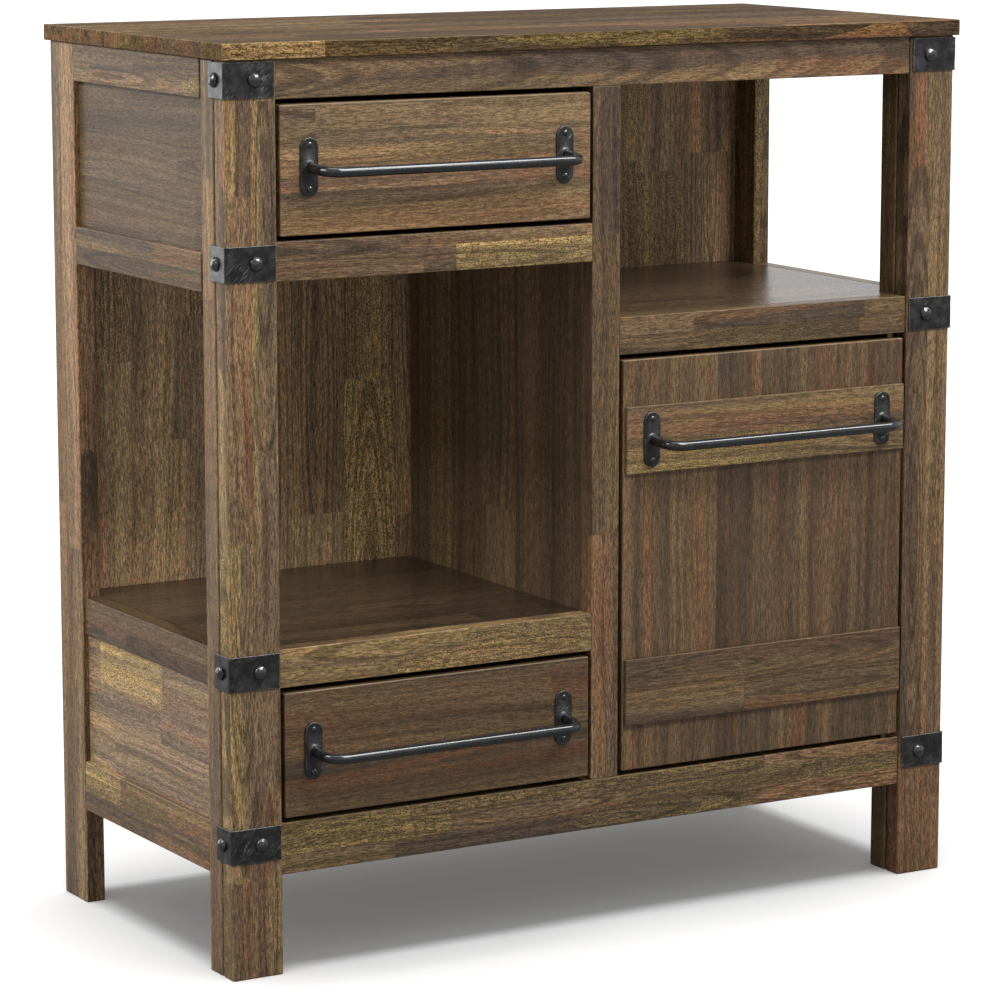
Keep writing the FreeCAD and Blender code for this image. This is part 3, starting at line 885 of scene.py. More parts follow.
@dataclass(frozen=True)
class Board:
    """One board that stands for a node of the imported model."""

    node: str
    grain: Axis
    staves: Staves
    tone: Tone = Tone.MIXED
    seed: int = 1
    # Brightness of the whole board: partly its own tone, partly painted light and shade, set board by
    # board.
    shade: float = 1.0
    gilt: Patch = Patch()
    gilding: float = 1.35
    flat_sawn: float = 0.38
    contrast: float = 1.0
    edge_contrast: float | None = None
    # Strength of the lighter edge colour: edge wear, plus painted highlight on the top edges.
    edge_wear_and_highlight: float = 1.0
    # Faces that point along this axis get their shade times the factor below: painted shade on that side.
    painted_shade_axis: Axis = Axis.Z
    painted_shade_factor: float = 1.0
    ease: float = 1.2 * MM
    inset_lo: Triple = (0.0, 0.0, 0.0)
    inset_hi: Triple = (0.0, 0.0, 0.0)
    depth: float = 0.16 * MM
    nick: float = 1.2 * MM
    label: str = "wood_"

    def surface(self) -> Surface:
        """Rounded and worked surface of the board, in place.

        Returns:
            The board's surface inside the node's box, less the insets at its low and high sides.
        """
        span = Span.of(self.node)
        lo = span.lo + Vector(self.inset_lo)
        size = span.hi - Vector(self.inset_hi) - lo
        cell = [CELL] * 3
        cell[self.grain.value] = CELL_ALONG
        wave = [WAVE] * 3
        wave[self.grain.value] = WAVE_ALONG
        block = rounded_block(size, self.ease, cell)
        block.points = block.points + np.array(lo)
        # Edges that face up get more of the lighter edge colour: painted highlight over the edge wear.
        edge_lightening = np.clip(EDGE_WEAR_LEAST + PAINTED_HIGHLIGHT_UPWARD * block.normals[:, 2], EDGE_WEAR_LEAST, 1.0)
        block.rim = self.edge_wear_and_highlight * block.rim * edge_lightening
        return worked(block, wave, self.depth, self.nick, self.seed)

    def order(self) -> list[int]:
        """Axes in the order of the board's own coordinates.

        Returns:
            The axis along the grain, the one across it and the one through the board.
        """
        size = Span.of(self.node).size
        others = sorted((a for a in range(3) if a != self.grain.value), key=lambda a: -size[a])
        return [self.grain.value, *others]

    def build(self) -> bpy.types.Object:
        """Make the board as an object.

        Returns:
            The object, with the attributes that the wood finish reads.
        """
        made = self.surface().piece(self.label + self.node)
        self.mark(made.data)
        return made

    def mark(self, mesh: bpy.types.Mesh) -> None:
        """Write the attributes that the wood finish reads on a mesh of this board.

        Args:
            mesh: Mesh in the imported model's frame, with its rim.
        """
        count = len(mesh.vertices)
        points = np.zeros(count * 3, np.float32)
        mesh.vertices.foreach_get("co", points)
        normals = np.zeros(count * 3, np.float32)
        mesh.vertex_normals.foreach_get("vector", normals)
        own = points.reshape(-1, 3) - np.array(Span.of(self.node).lo)
        toward = np.clip(normals.reshape(-1, 3)[:, self.painted_shade_axis.value], 0, 1)
        edge = self.contrast if self.edge_contrast is None else self.edge_contrast
        figure = np.tile((self.flat_sawn, edge, self.gilding), (count, 1))
        figure[:, 1] += (self.contrast - edge) * toward
        layout = (float(self.seed), self.staves.width, self.staves.length)
        ends = (self.gilt.start, self.gilt.stop, self.gilt.low)
        write_attribute(mesh, "grain", own[:, self.order()])
        for name, row in (("board", layout), ("tone", self.tone.value), ("gilt", ends)):
            write_attribute(mesh, name, np.tile(row, (count, 1)))
        write_attribute(mesh, "figure", figure)
        # Faces that point along the chosen axis are darker: painted shade on that side.
        write_attribute(mesh, "shade", self.shade * (1 - (1 - self.painted_shade_factor) * toward))
        write_attribute(mesh, "gilt_end", np.full(count, self.gilt.high))


@dataclass(frozen=True)
class FittedBoard(Board):
    """Board that is cut round the legs, in the outline of its node."""

    def build(self) -> bpy.types.Object:
        """Make the board from a merged copy of its node.

        Returns:
            The object, with the attributes that the wood finish reads.
        """
        name = self.label + self.node
        mesh = frame["nodes"][self.node].data.copy()
        mesh.name = name
        mesh.materials.clear()
        merge(mesh)
        write_attribute(mesh, "rim", np.zeros(len(mesh.vertices)))
        self.mark(mesh)
        return add_object(name, mesh)


@dataclass(frozen=True)
class GlueLine(Board):
    """Sunk glue line behind a face stile, at the bottom of the groove in the post."""

    sunk: float = 3.5 * MM
    lap: float = 0.2 * MM
    ease: float = 0.4 * MM
    cell: float = 20 * MM
    label: str = "glue_line_"

    def surface(self) -> Surface:
        """Thin block that closes the groove, in place.

        Returns:
            The block's surface.
        """
        stile = Span.of(self.node)
        size = (stile.size.x - 2 * self.sunk, GROOVE[1] + 2 * self.lap, stile.size.z - self.sunk)
        block = rounded_block(size, self.ease, [self.cell] * 3)
        lo = (stile.lo.x + self.sunk, stile.hi.y - self.lap, stile.lo.z + self.sunk)
        block.points = block.points + np.array(lo)
        return block


MERGE_GAP = 0.01 * MM
FLAT_ANGLE = math.radians(0.5)


def merge(mesh: bpy.types.Mesh) -> None:
    """Join the loose triangles of a mesh where their corners meet.

    Args:
        mesh: Copy of a node's mesh.
    """
    work = bmesh.new()
    work.from_mesh(mesh)
    bmesh.ops.remove_doubles(work, verts=work.verts, dist=MERGE_GAP)
    bmesh.ops.dissolve_limit(work, angle_limit=FLAT_ANGLE, verts=work.verts, edges=work.edges)
    work.to_mesh(mesh)
    work.free()
    mesh.shade_flat()


@dataclass(frozen=True)
class Head:
    """Domed head of a bolt or of a cross-recessed screw."""

    radius: float
    height: float
    uneven: float = 0.03
    seed: int = 9
    recessed: bool = True

    def set_on(self, points: bpy.types.Object, material: bpy.types.Material) -> bpy.types.Object:
        """Set a head on every point.

        Args:
            points: Object of points with the attribute outward.
            material: Finish of the heads.

        Returns:
            The same object, as a mesh of heads.
        """
        tree = Trees.screws if self.recessed else Trees.bolts
        return run_nodes(points, tree, {
            "Radius": self.radius, "Height": self.height, "Uneven": self.uneven, "Seed": self.seed,
            "Material": material})


@dataclass(frozen=True)
class Dressing:
    """Material of a finish, and the slot of the record that the finish belongs to."""

    material: bpy.types.Material
    slot: Slot


@dataclass
class SubAssembly:
    """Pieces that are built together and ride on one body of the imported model."""

    finishes: dict[str, Dressing]
    body: str = "case"

    def dress(self, piece: bpy.types.Object, finish: str) -> None:
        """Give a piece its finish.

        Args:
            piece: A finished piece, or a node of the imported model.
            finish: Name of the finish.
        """
        look = self.finishes[finish]
        piece.data.materials.clear()
        piece.data.materials.append(look.material)
        LOG.info("%s on %s is dressed in %s", piece.name, self.body, finish)

    def settle(self, piece: bpy.types.Object, finish: str, nodes: Sequence[str] = ()) -> None:
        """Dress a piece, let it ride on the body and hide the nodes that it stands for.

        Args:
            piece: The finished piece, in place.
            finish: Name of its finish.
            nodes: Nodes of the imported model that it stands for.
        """
        self.dress(piece, finish)
        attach(piece, self.body)
        if nodes:
            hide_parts(*nodes)

    def keep(self, node: str, finish: str) -> None:
        """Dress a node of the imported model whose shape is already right."""
        self.dress(frame["nodes"][node], finish)

    def fasten(
        self, name: str, head: Head, finish: str, seats: Sequence[tuple[Vector, Vector]],
        nodes: Sequence[str] = ()
    ) -> None:
        """Set the heads of bolts or screws.

        Args:
            name: Name of the piece.
            head: Head of one bolt or screw.
            finish: Name of its finish.
            seats: Place and outward direction of each head.
            nodes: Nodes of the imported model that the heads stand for.
        """
        points = points_object(name, *zip(*seats))
        self.settle(head.set_on(points, self.finishes[finish].material), finish, nodes)


POST = Staves(27 * MM, 330 * MM)
LONG_POST = Staves(27 * MM, 620 * MM)
REAR_POST = Staves(32 * MM, 520 * MM)
LEG = Staves(90 * MM, 1400 * MM)
STILE = Staves(32 * MM, 300 * MM)
RAIL = Staves(19 * MM, 210 * MM)
WHOLE_RAIL = Staves(40 * MM, 1600 * MM)
PANEL = Staves(58 * MM, 260 * MM)
WALL = Staves(62 * MM, 430 * MM)
DIVIDER = Staves(66 * MM, 1100 * MM)
SLAB = Staves(44 * MM, 380 * MM)
BATTEN = Staves(34 * MM, 420 * MM)
DOOR = Staves(56 * MM, 900 * MM)
BOX = Staves(48 * MM, 400 * MM)
NARROW_FRONT = Staves(41 * MM, 420 * MM)
WIDE_FRONT = Staves(58 * MM, 1200 * MM)
HANDLED_EASE = 1.8 * MM
# Drawer fronts and the door panel get stronger lighter edges: wear, plus a painted highlight line along
# their top edges.
HANDLED_EDGE_WEAR_AND_HIGHLIGHT = 1.8
BATTEN_EASE = 1.1 * MM
BOX_EASE = 0.8 * MM
PANEL_EASE = 0.6 * MM
TONGUE: Triple = (0.0, 3 * MM, 3 * MM)
REAR_SLOT: Triple = (0.0, 5.5 * MM, 3 * MM)
GROOVE: Triple = (0.0, 2.2 * MM, 0.0)
SHELF_GAP: Triple = (1.0 * MM, 0.0, 0.0)
PAST_END = 1.0


@dataclass
class Case(SubAssembly):
    """The fixed case: top, posts, rails, panels and inner boards."""

    top: tuple[Board, ...] = (
        # The top's upper face is darker than its edges: painted shade.
        Board("top_panel", Axis.X, SLAB, Tone.UMBER, 11, 0.64, contrast=2.1, edge_contrast=1.2, painted_shade_factor=0.74,
              gilt=Patch(-PAST_END, 108 * MM, -PAST_END, 0.9 * MM), gilding=1.6),)
    outer: tuple[Board, ...] = (
        Board("left_face_stile", Axis.Z, POST, Tone.GOLDEN, 12, 0.97, contrast=1.15, ease=HANDLED_EASE),
        Board("right_face_stile", Axis.Z, LONG_POST, Tone.RUDDY, 13, 0.86, contrast=1.15,
              ease=HANDLED_EASE),
        Board("left_front_leg", Axis.Z, LEG, Tone.CALM, 14, 1.30, ease=HANDLED_EASE, inset_lo=GROOVE),
        # The right front leg is darker: painted shadow of the case.
        Board("right_front_leg", Axis.Z, LEG, Tone.UMBER, 15, 0.80, ease=HANDLED_EASE, inset_lo=GROOVE),
        Board("left_rear_leg", Axis.Z, REAR_POST, Tone.CALM, 16, 1.22),
        Board("right_rear_leg", Axis.Z, POST, Tone.MIXED, 17),
        Board("front_top_rail", Axis.X, WHOLE_RAIL, Tone.RUDDY, 38, 1.14, contrast=0.9),
        Board("front_bottom_rail", Axis.X, RAIL, Tone.MIXED, 19, 0.82, contrast=1.1),
        Board("centre_stile", Axis.Z, STILE, Tone.UMBER, 20, 0.78),
        Board("upper_drawer_rail", Axis.X, RAIL, Tone.RUDDY, 21,
              gilt=Patch(196 * MM, PAST_END, -PAST_END, 26 * MM), gilding=1.12),
        Board("lower_drawer_rail", Axis.X, RAIL, Tone.GOLDEN, 22),
        Board("shelf_rail", Axis.X, RAIL, Tone.RUSSET, 23, 0.78),
        Board("left_top_side_rail", Axis.Y, RAIL, Tone.CALM, 24, 0.80, inset_lo=GROOVE),
        Board("left_upper_mid_rail", Axis.Y, RAIL, Tone.RUSSET, 25, 0.66, inset_lo=GROOVE),
        # This rail's top face is darker and its edges get little lighter colour: painted shade inside the
        # cubby.
        Board("left_lower_mid_rail", Axis.Y, RAIL, Tone.CALM, 26, 0.86, edge_wear_and_highlight=0.3, painted_shade_factor=0.35),
        Board("left_bottom_side_rail", Axis.Y, RAIL, Tone.MIXED, 27,
              gilt=Patch(200 * MM, PAST_END, 22 * MM, PAST_END)),
        Board("right_top_side_rail", Axis.Y, RAIL, Tone.MIXED, 28),
        Board("right_mid_side_rail", Axis.Y, RAIL, Tone.MIXED, 29, inset_lo=SHELF_GAP),
        Board("right_bottom_side_rail", Axis.Y, RAIL, Tone.MIXED, 30),
        Board("right_lower_panel", Axis.Y, PANEL, Tone.MIXED, 33, ease=PANEL_EASE,
              inset_lo=TONGUE, inset_hi=TONGUE),
    )
    sides: tuple[Board, ...] = (
        Board("left_upper_panel", Axis.Y, PANEL, Tone.RUDDY, 31, 0.58, contrast=0.9, ease=PANEL_EASE,
              inset_lo=TONGUE, inset_hi=REAR_SLOT),
        Board("left_lower_panel", Axis.Y, PANEL, Tone.CALM, 36, 1.62, contrast=0.80, ease=PANEL_EASE,
              inset_lo=TONGUE, inset_hi=REAR_SLOT, flat_sawn=0.0,
              gilt=Patch(118 * MM, 262 * MM, 92 * MM, PAST_END), gilding=1.75),
    )
    inner: tuple[Board, ...] = (
        # The partition's right face is darker: painted shade.
        Board("partition", Axis.Z, DIVIDER, Tone.CALM, 41, 1.1, flat_sawn=0.0, painted_shade_axis=Axis.X, painted_shade_factor=0.54),
        # The back panel is made much lighter: painted light at the back of the cubbies.
        Board("back_panel", Axis.Z, WALL, Tone.MIXED, 42, 2.85, ease=PANEL_EASE),
        Board("back_top_rail", Axis.X, RAIL, Tone.UMBER, 43),
        Board("back_bottom_rail", Axis.X, RAIL, Tone.UMBER, 44),
        FittedBoard("upper_drawer_deck", Axis.X, SLAB, Tone.CALM, 45),
        FittedBoard("bottom_panel", Axis.X, SLAB, Tone.CALM, 46),
    )
    shelves: tuple[Board, ...] = (
        # The cubby floor is darker: painted shade inside the cubby.
        FittedBoard("cubby_floor", Axis.X, SLAB, Tone.CALM, 47, 0.50),
        FittedBoard("right_shelf", Axis.X, SLAB, Tone.CALM, 48, 1.1),
    )
    glue_lines: tuple[Board, ...] = (
        GlueLine("left_face_stile", Axis.Z, POST, Tone.UMBER, 34, 0.5),
        GlueLine("right_face_stile", Axis.Z, POST, Tone.UMBER, 35, 0.5),
    )

    def build(self) -> None:
        """Build and dress every board of the case."""
        groups = {"top": self.top, "outer": self.outer, "side": self.sides, "inner": self.inner,
                  "shelf": self.shelves}
        for finish, boards in groups.items():
            for board in boards:
                self.settle(board.build(), finish, [board.node])
        for line in self.glue_lines:
            self.settle(line.build(), "inner")


def points_object(name: str, places: Sequence[Vector], outward: Sequence[Vector]) -> bpy.types.Object:
    """Object of bare points, each with an outward direction.

    Args:
        name: Name of the object.
        places: Where the points are.
        outward: Direction that each point faces.

    Returns:
        The object, with the attribute outward.
    """
    mesh = bpy.data.meshes.new(name)
    mesh.from_pydata([tuple(p) for p in places], [], [])
    write_attribute(mesh, "outward", np.array([tuple(o) for o in outward]))
    return add_object(name, mesh)


def run_nodes(
    piece: bpy.types.Object, tree: bpy.types.NodeTree, values: dict[str, Any]
) -> bpy.types.Object:
    """Run a Geometry Nodes tree on an object and keep its result as a plain mesh.

    Args:
        piece: Object that the tree starts from.
        tree: Geometry Nodes tree.
        values: Values of the tree's inputs, by name.

    Returns:
        The same object, with the result as its mesh and no modifier.
    """
    modifier = piece.modifiers.new("nodes", "NODES")
    modifier.node_group = tree
    for item in tree.interface.items_tree:
        if item.in_out == "INPUT" and item.name in values:
            modifier[item.identifier] = values[item.name]
    graph = bpy.context.evaluated_depsgraph_get()
    made = bpy.data.meshes.new_from_object(
        piece.evaluated_get(graph), preserve_all_data_layers=True, depsgraph=graph)
    piece.modifiers.remove(modifier)
    made.name = piece.name
    piece.data = made
    return piece


GEOMETRY = "NodeSocketGeometry"
MATERIAL = "NodeSocketMaterial"
INTEGER = "NodeSocketInt"

HEAD_SEGMENTS = 28
HEAD_RINGS = 16
RECESS_LENGTH = 1.15
RECESS_WIDTH = 0.26
RECESS_DEPTH = 1.1
BEND_STEPS = 14
BAR_STOPS = 160
BAR_SEGMENTS = 28


def head_tree(name: str, recessed: bool) -> bpy.types.NodeTree:
    """Geometry Nodes tree that sets a domed head on every point.

    Args:
        name: Name of the tree.
        recessed: Whether the head has a cross recess.

    Returns:
        A tree with the head's sizes, unevenness, seed and material as inputs.
    """
    sketch, given, result = new_group(
        name, "GeometryNodeTree",
        [("Geometry", GEOMETRY), ("Radius", VALUE), ("Height", VALUE), ("Uneven", VALUE),
         ("Seed", INTEGER), ("Material", MATERIAL)],
        [("Geometry", GEOMETRY)],
    )
    ball = sketch.node("GeometryNodeMeshUVSphere", {
        "Segments": HEAD_SEGMENTS, "Rings": HEAD_RINGS, "Radius": 1.0})
    place = sketch.node("GeometryNodeInputPosition").outputs[0]
    dents = sketch.noise(place, Weave.DENTS)
    swell = sketch.times_plus(sketch.minus(dents, 0.5), given.outputs["Uneven"], 1.0)
    radius = sketch.times(given.outputs["Radius"], swell)
    height = sketch.times(given.outputs["Height"], swell)
    domed = sketch.vector("MULTIPLY", place, sketch.combine(radius, radius, height))
    shaped = sketch.node("GeometryNodeSetPosition", {"Geometry": ball.outputs["Mesh"], "Position": domed})
    head = shaped.outputs[0]
    if recessed:
        head = cross_recess(sketch, head, given)
    facing = sketch.node("GeometryNodeInputNamedAttribute", {"Name": "outward"}, data_type="FLOAT_VECTOR")
    turned = sketch.node(
        "FunctionNodeAlignRotationToVector", {"Vector": facing.outputs["Attribute"]}, axis="Z")
    spin = sketch.node("FunctionNodeRandomValue", {"Seed": given.outputs["Seed"]}, data_type="FLOAT")
    ends = (s for s in spin.inputs if s.name in ("Min", "Max") and s.type == "VALUE")
    for end, limit in zip(ends, (0.0, math.tau)):
        end.default_value = limit
    angle = next(s for s in spin.outputs if s.type == "VALUE")
    local = sketch.node(
        "FunctionNodeRotateRotation", {0: turned.outputs[0], 1: sketch.combine(0.0, 0.0, angle)},
        rotation_space="LOCAL")
    spread = sketch.node("GeometryNodeInstanceOnPoints", {
        "Points": given.outputs["Geometry"], "Instance": head, "Rotation": local.outputs[0]})
    end_tree(sketch, spread.outputs[0], given, result, smooth=not recessed)
    return sketch.tree


def cross_recess(sketch: Sketch, head: Socket, given: bpy.types.Node) -> Socket:
    """Cut a cross recess into a domed head.

    Args:
        sketch: Sketch on the tree.
        head: Geometry of the head, standing on its centre.
        given: Input node of the tree, with Radius and Height.

    Returns:
        Geometry of the cut head.
    """
    radius = given.outputs["Radius"]
    height = given.outputs["Height"]
    bars = sketch.node("GeometryNodeJoinGeometry")
    for wide, deep in ((RECESS_LENGTH, RECESS_WIDTH), (RECESS_WIDTH, RECESS_LENGTH)):
        size = sketch.combine(
            sketch.times(radius, wide), sketch.times(radius, deep), sketch.times(height, RECESS_DEPTH))
        bar = sketch.node("GeometryNodeMeshCube", {"Size": size})
        moved = sketch.node("GeometryNodeTransform", {
            "Geometry": bar.outputs["Mesh"], "Translation": sketch.combine(0.0, 0.0, height)})
        sketch.feed(bars.inputs[0], moved.outputs[0])
    cut = sketch.node(
        "GeometryNodeMeshBoolean",
        {"Mesh 1": head, "Mesh 2": bars.outputs[0], "Self Intersection": True},
        operation="DIFFERENCE", solver="EXACT")
    return cut.outputs["Mesh"]


def end_tree(
    sketch: Sketch, made: Socket, given: bpy.types.Node, result: bpy.types.Node, smooth: bool
) -> None:
    """End a tree with real geometry, its shading and its material.

    Args:
        sketch: Sketch on the tree.
        made: Geometry of the tree.
        given: Input node of the tree, with Material.
        result: Output node of the tree.
        smooth: Whether its faces are shaded smooth.
    """
    real = sketch.node("GeometryNodeRealizeInstances", {0: made})
    shade = sketch.node("GeometryNodeSetShadeSmooth", {0: real.outputs[0], "Shade Smooth": smooth})
    painted = sketch.node("GeometryNodeSetMaterial", {
        "Geometry": shade.outputs[0], "Material": given.outputs["Material"]})
    sketch.feed(result.inputs[0], painted.outputs[0])


MOULD_CELL = 4 * MM


def moulded(lo: Sequence[float], size: Sequence[float], radius: float) -> Surface:
    """Small block with rounded edges, in place.

    Args:
        lo: Its lowest corner.
        size: Its lengths along X, Y and Z.
        radius: Radius of its edges.

    Returns:
        The closed surface.
    """
    block = rounded_block(size, radius, [MOULD_CELL] * 3)
    block.points = block.points + np.array(lo)
    return block


def joined(parts: Sequence[Surface]) -> Surface:
    """Several surfaces as one.

    Args:
        parts: The surfaces.

    Returns:
        One surface with all their points and faces.
    """
    starts = np.cumsum([0] + [len(part.points) for part in parts[:-1]])
    return Surface(
        np.concatenate([part.points for part in parts]),
        np.concatenate([part.normals for part in parts]),
        np.concatenate([part.quads + start for part, start in zip(parts, starts)]),
        np.concatenate([part.rim for part in parts]))


def bar_tree() -> bpy.types.NodeTree:
    """Geometry Nodes tree that bends a round bar along a line of points.

    Returns:
        A tree with the bar's radius, bend and material as inputs.
    """
    sketch, given, result = new_group(
        "Bent bar", "GeometryNodeTree",
        [("Geometry", GEOMETRY), ("Radius", VALUE), ("Bend", VALUE), ("Material", MATERIAL)],
        [("Geometry", GEOMETRY)],
    )
    line = sketch.node("GeometryNodeMeshToCurve", {0: given.outputs["Geometry"]})
    bends = sketch.node("GeometryNodeFilletCurve", {
        "Curve": line.outputs[0], "Radius": given.outputs["Bend"], "Count": BEND_STEPS,
        "Limit Radius": True}, mode="POLY")
    runs = sketch.node("GeometryNodeResampleCurve", {"Curve": bends.outputs[0], "Count": BAR_STOPS})
    ring = sketch.node("GeometryNodeCurvePrimitiveCircle", {
        "Radius": given.outputs["Radius"], "Resolution": BAR_SEGMENTS})
    tube = sketch.node("GeometryNodeCurveToMesh", {
        "Curve": runs.outputs[0], "Profile Curve": ring.outputs["Curve"], "Fill Caps": True})
    end_tree(sketch, tube.outputs[0], given, result, smooth=True)
    return sketch.tree


class Trees:
    """Geometry Nodes trees that several sub-assemblies run."""

    bolts: bpy.types.NodeTree
    screws: bpy.types.NodeTree
    bar: bpy.types.NodeTree

    @classmethod
    def build(cls) -> None:
        """Build the trees once."""
        cls.bolts = head_tree("Forged bolt heads", recessed=False)
        cls.screws = head_tree("Screw heads", recessed=True)
        cls.bar = bar_tree()


FORWARD = Vector((0, -1, 0))
BACKWARD = Vector((0, 1, 0))
LEFTWARD = Vector((-1, 0, 0))
RIGHTWARD = Vector((1, 0, 0))


@dataclass
class Ironwork(SubAssembly):
    """Corner brackets of hammered iron and their forged bolts."""

    thickness: float = 2.0 * MM
    height: float = 34.0 * MM
    front: float = 52.0 * MM
    side: float = 30.0 * MM
    corner: float = 2.4 * MM
    ease: float = 0.55 * MM
    cell: float = 1.7 * MM
    marks: int = 60
    mark_least: float = 2.5 * MM
    mark_most: float = 6.0 * MM
    dent: float = 0.20 * MM
    dent_least: float = 0.3
    wave: Triple = (26 * MM, 40 * MM, 26 * MM)
    wave_depth: float = 0.10 * MM
    nick: float = 0.8 * MM
    first_seed: int = 70
    bolt: Head = Head(7.0 * MM, 4.9 * MM, uneven=0.28, seed=5, recessed=False)
    bolt_from_side: float = 31.0 * MM
    bolt_from_front: float = 17.0 * MM
    undersides: dict[int, tuple[float, ...]] = field(default_factory=lambda: {
        -1: (848.0 * MM, 676.0 * MM, 284.5 * MM, 115.5 * MM),
        1: (848.0 * MM, 580.5 * MM, 115.5 * MM),
    })

    def post_corner(self, side: int) -> Vector:
        """Outer front corner of the left post, at side -1, or of the right one, at side 1."""
        post = Span.of("left_face_stile" if side < 0 else "right_face_stile")
        return Vector((post.lo.x if side < 0 else post.hi.x, post.lo.y, post.lo.z))

    def bracket(self, side: int, underside: float, seed: int) -> Surface:
        """Bent and hammered plate round the outer corner of a front post.

        Args:
            side: -1 for the left post, 1 for the right one.
            underside: Height of its lower edge.
            seed: Seed of its hammer marks.

        Returns:
            The plate's surface, in place.
        """
        arc = self.corner * math.pi / 2
        front_run = self.front + self.thickness - self.corner
        side_run = self.side + self.thickness - self.corner
        length = front_run + arc + side_run
        flat = rounded_block((length, self.thickness, self.height), self.ease, [self.cell] * 3)
        flat = self.hammered(flat, seed)
        along, depth, up = flat.points.T
        turn = np.clip((along - front_run) / arc, 0, 1) * math.pi / 2
        reach = self.corner - depth
        past = np.clip(along - front_run - arc, 0, None)
        before = np.clip(front_run - along, 0, None)
        x = self.corner - self.thickness - np.sin(turn) * reach + before
        y = self.corner - self.thickness - np.cos(turn) * reach + past
        corner = self.post_corner(side)
        points = np.stack([corner.x - side * x, corner.y + y, underside + up], 1)
        nx, ny, nz = flat.normals.T
        normals = np.stack([side * (nx * np.cos(turn) - ny * np.sin(turn)),
                            nx * np.sin(turn) + ny * np.cos(turn), nz], 1)
        quads = flat.quads[:, ::-1] if side < 0 else flat.quads
        return Surface(points, normals, quads, flat.rim)

    def hammered(self, plate: Surface, seed: int) -> Surface:
        """Dent a flat plate with hammer marks.

        Args:
            plate: Flat plate in its own frame, its face at Y 0.
            seed: Seed of the marks.

        Returns:
            The plate with its marks.
        """
        dice = np.random.default_rng(seed)
        low = np.zeros(len(plate.points))
        slope = np.zeros_like(plate.points)
        for _ in range(self.marks):
            centre = dice.uniform((0, 0), (plate.points[:, 0].max(), self.height))
            radius = dice.uniform(self.mark_least, self.mark_most)
            depth = self.dent * dice.uniform(self.dent_least, 1.0)
            gap = plate.points[:, [0, 2]] - centre
            bell = depth * np.exp(-(gap ** 2).sum(1) / radius ** 2)
            low += bell
            slope[:, [0, 2]] += (-2 * gap / radius ** 2) * bell[:, None]
        facing = np.clip(-plate.normals[:, 1], 0, 1)
        points = plate.points.copy()
        points[:, 1] += low * facing
        normals = plate.normals + slope * facing[:, None]
        normals /= np.linalg.norm(normals, axis=1)[:, None]
        dented = Surface(points, normals, plate.quads, plate.rim)
        return worked(dented, self.wave, self.wave_depth, self.nick, seed + 1)

    def build(self) -> None:
        """Build and dress the brackets and their bolts."""
        plates, seats = [], []
        seed = self.first_seed
        for side, heights in self.undersides.items():
            corner = self.post_corner(side)
            for underside in heights:
                seed += 2
                plates.append(self.bracket(side, underside, seed))
                middle = underside + self.height / 2
                inward = corner.x - side * self.bolt_from_side
                on_front = Vector((inward, corner.y - self.thickness, middle))
                outward = corner.x + side * self.thickness
                on_side = Vector((outward, corner.y + self.bolt_from_front, middle))
                seats += [(on_front, FORWARD), (on_side, LEFTWARD if side < 0 else RIGHTWARD)]
        brackets = joined(plates).piece("iron_corner_brackets")
        self.settle(brackets, "iron", ["corner_brackets"])
        self.fasten("iron_bracket_bolts", self.bolt, "screw", seats, ["bracket_bolts"])


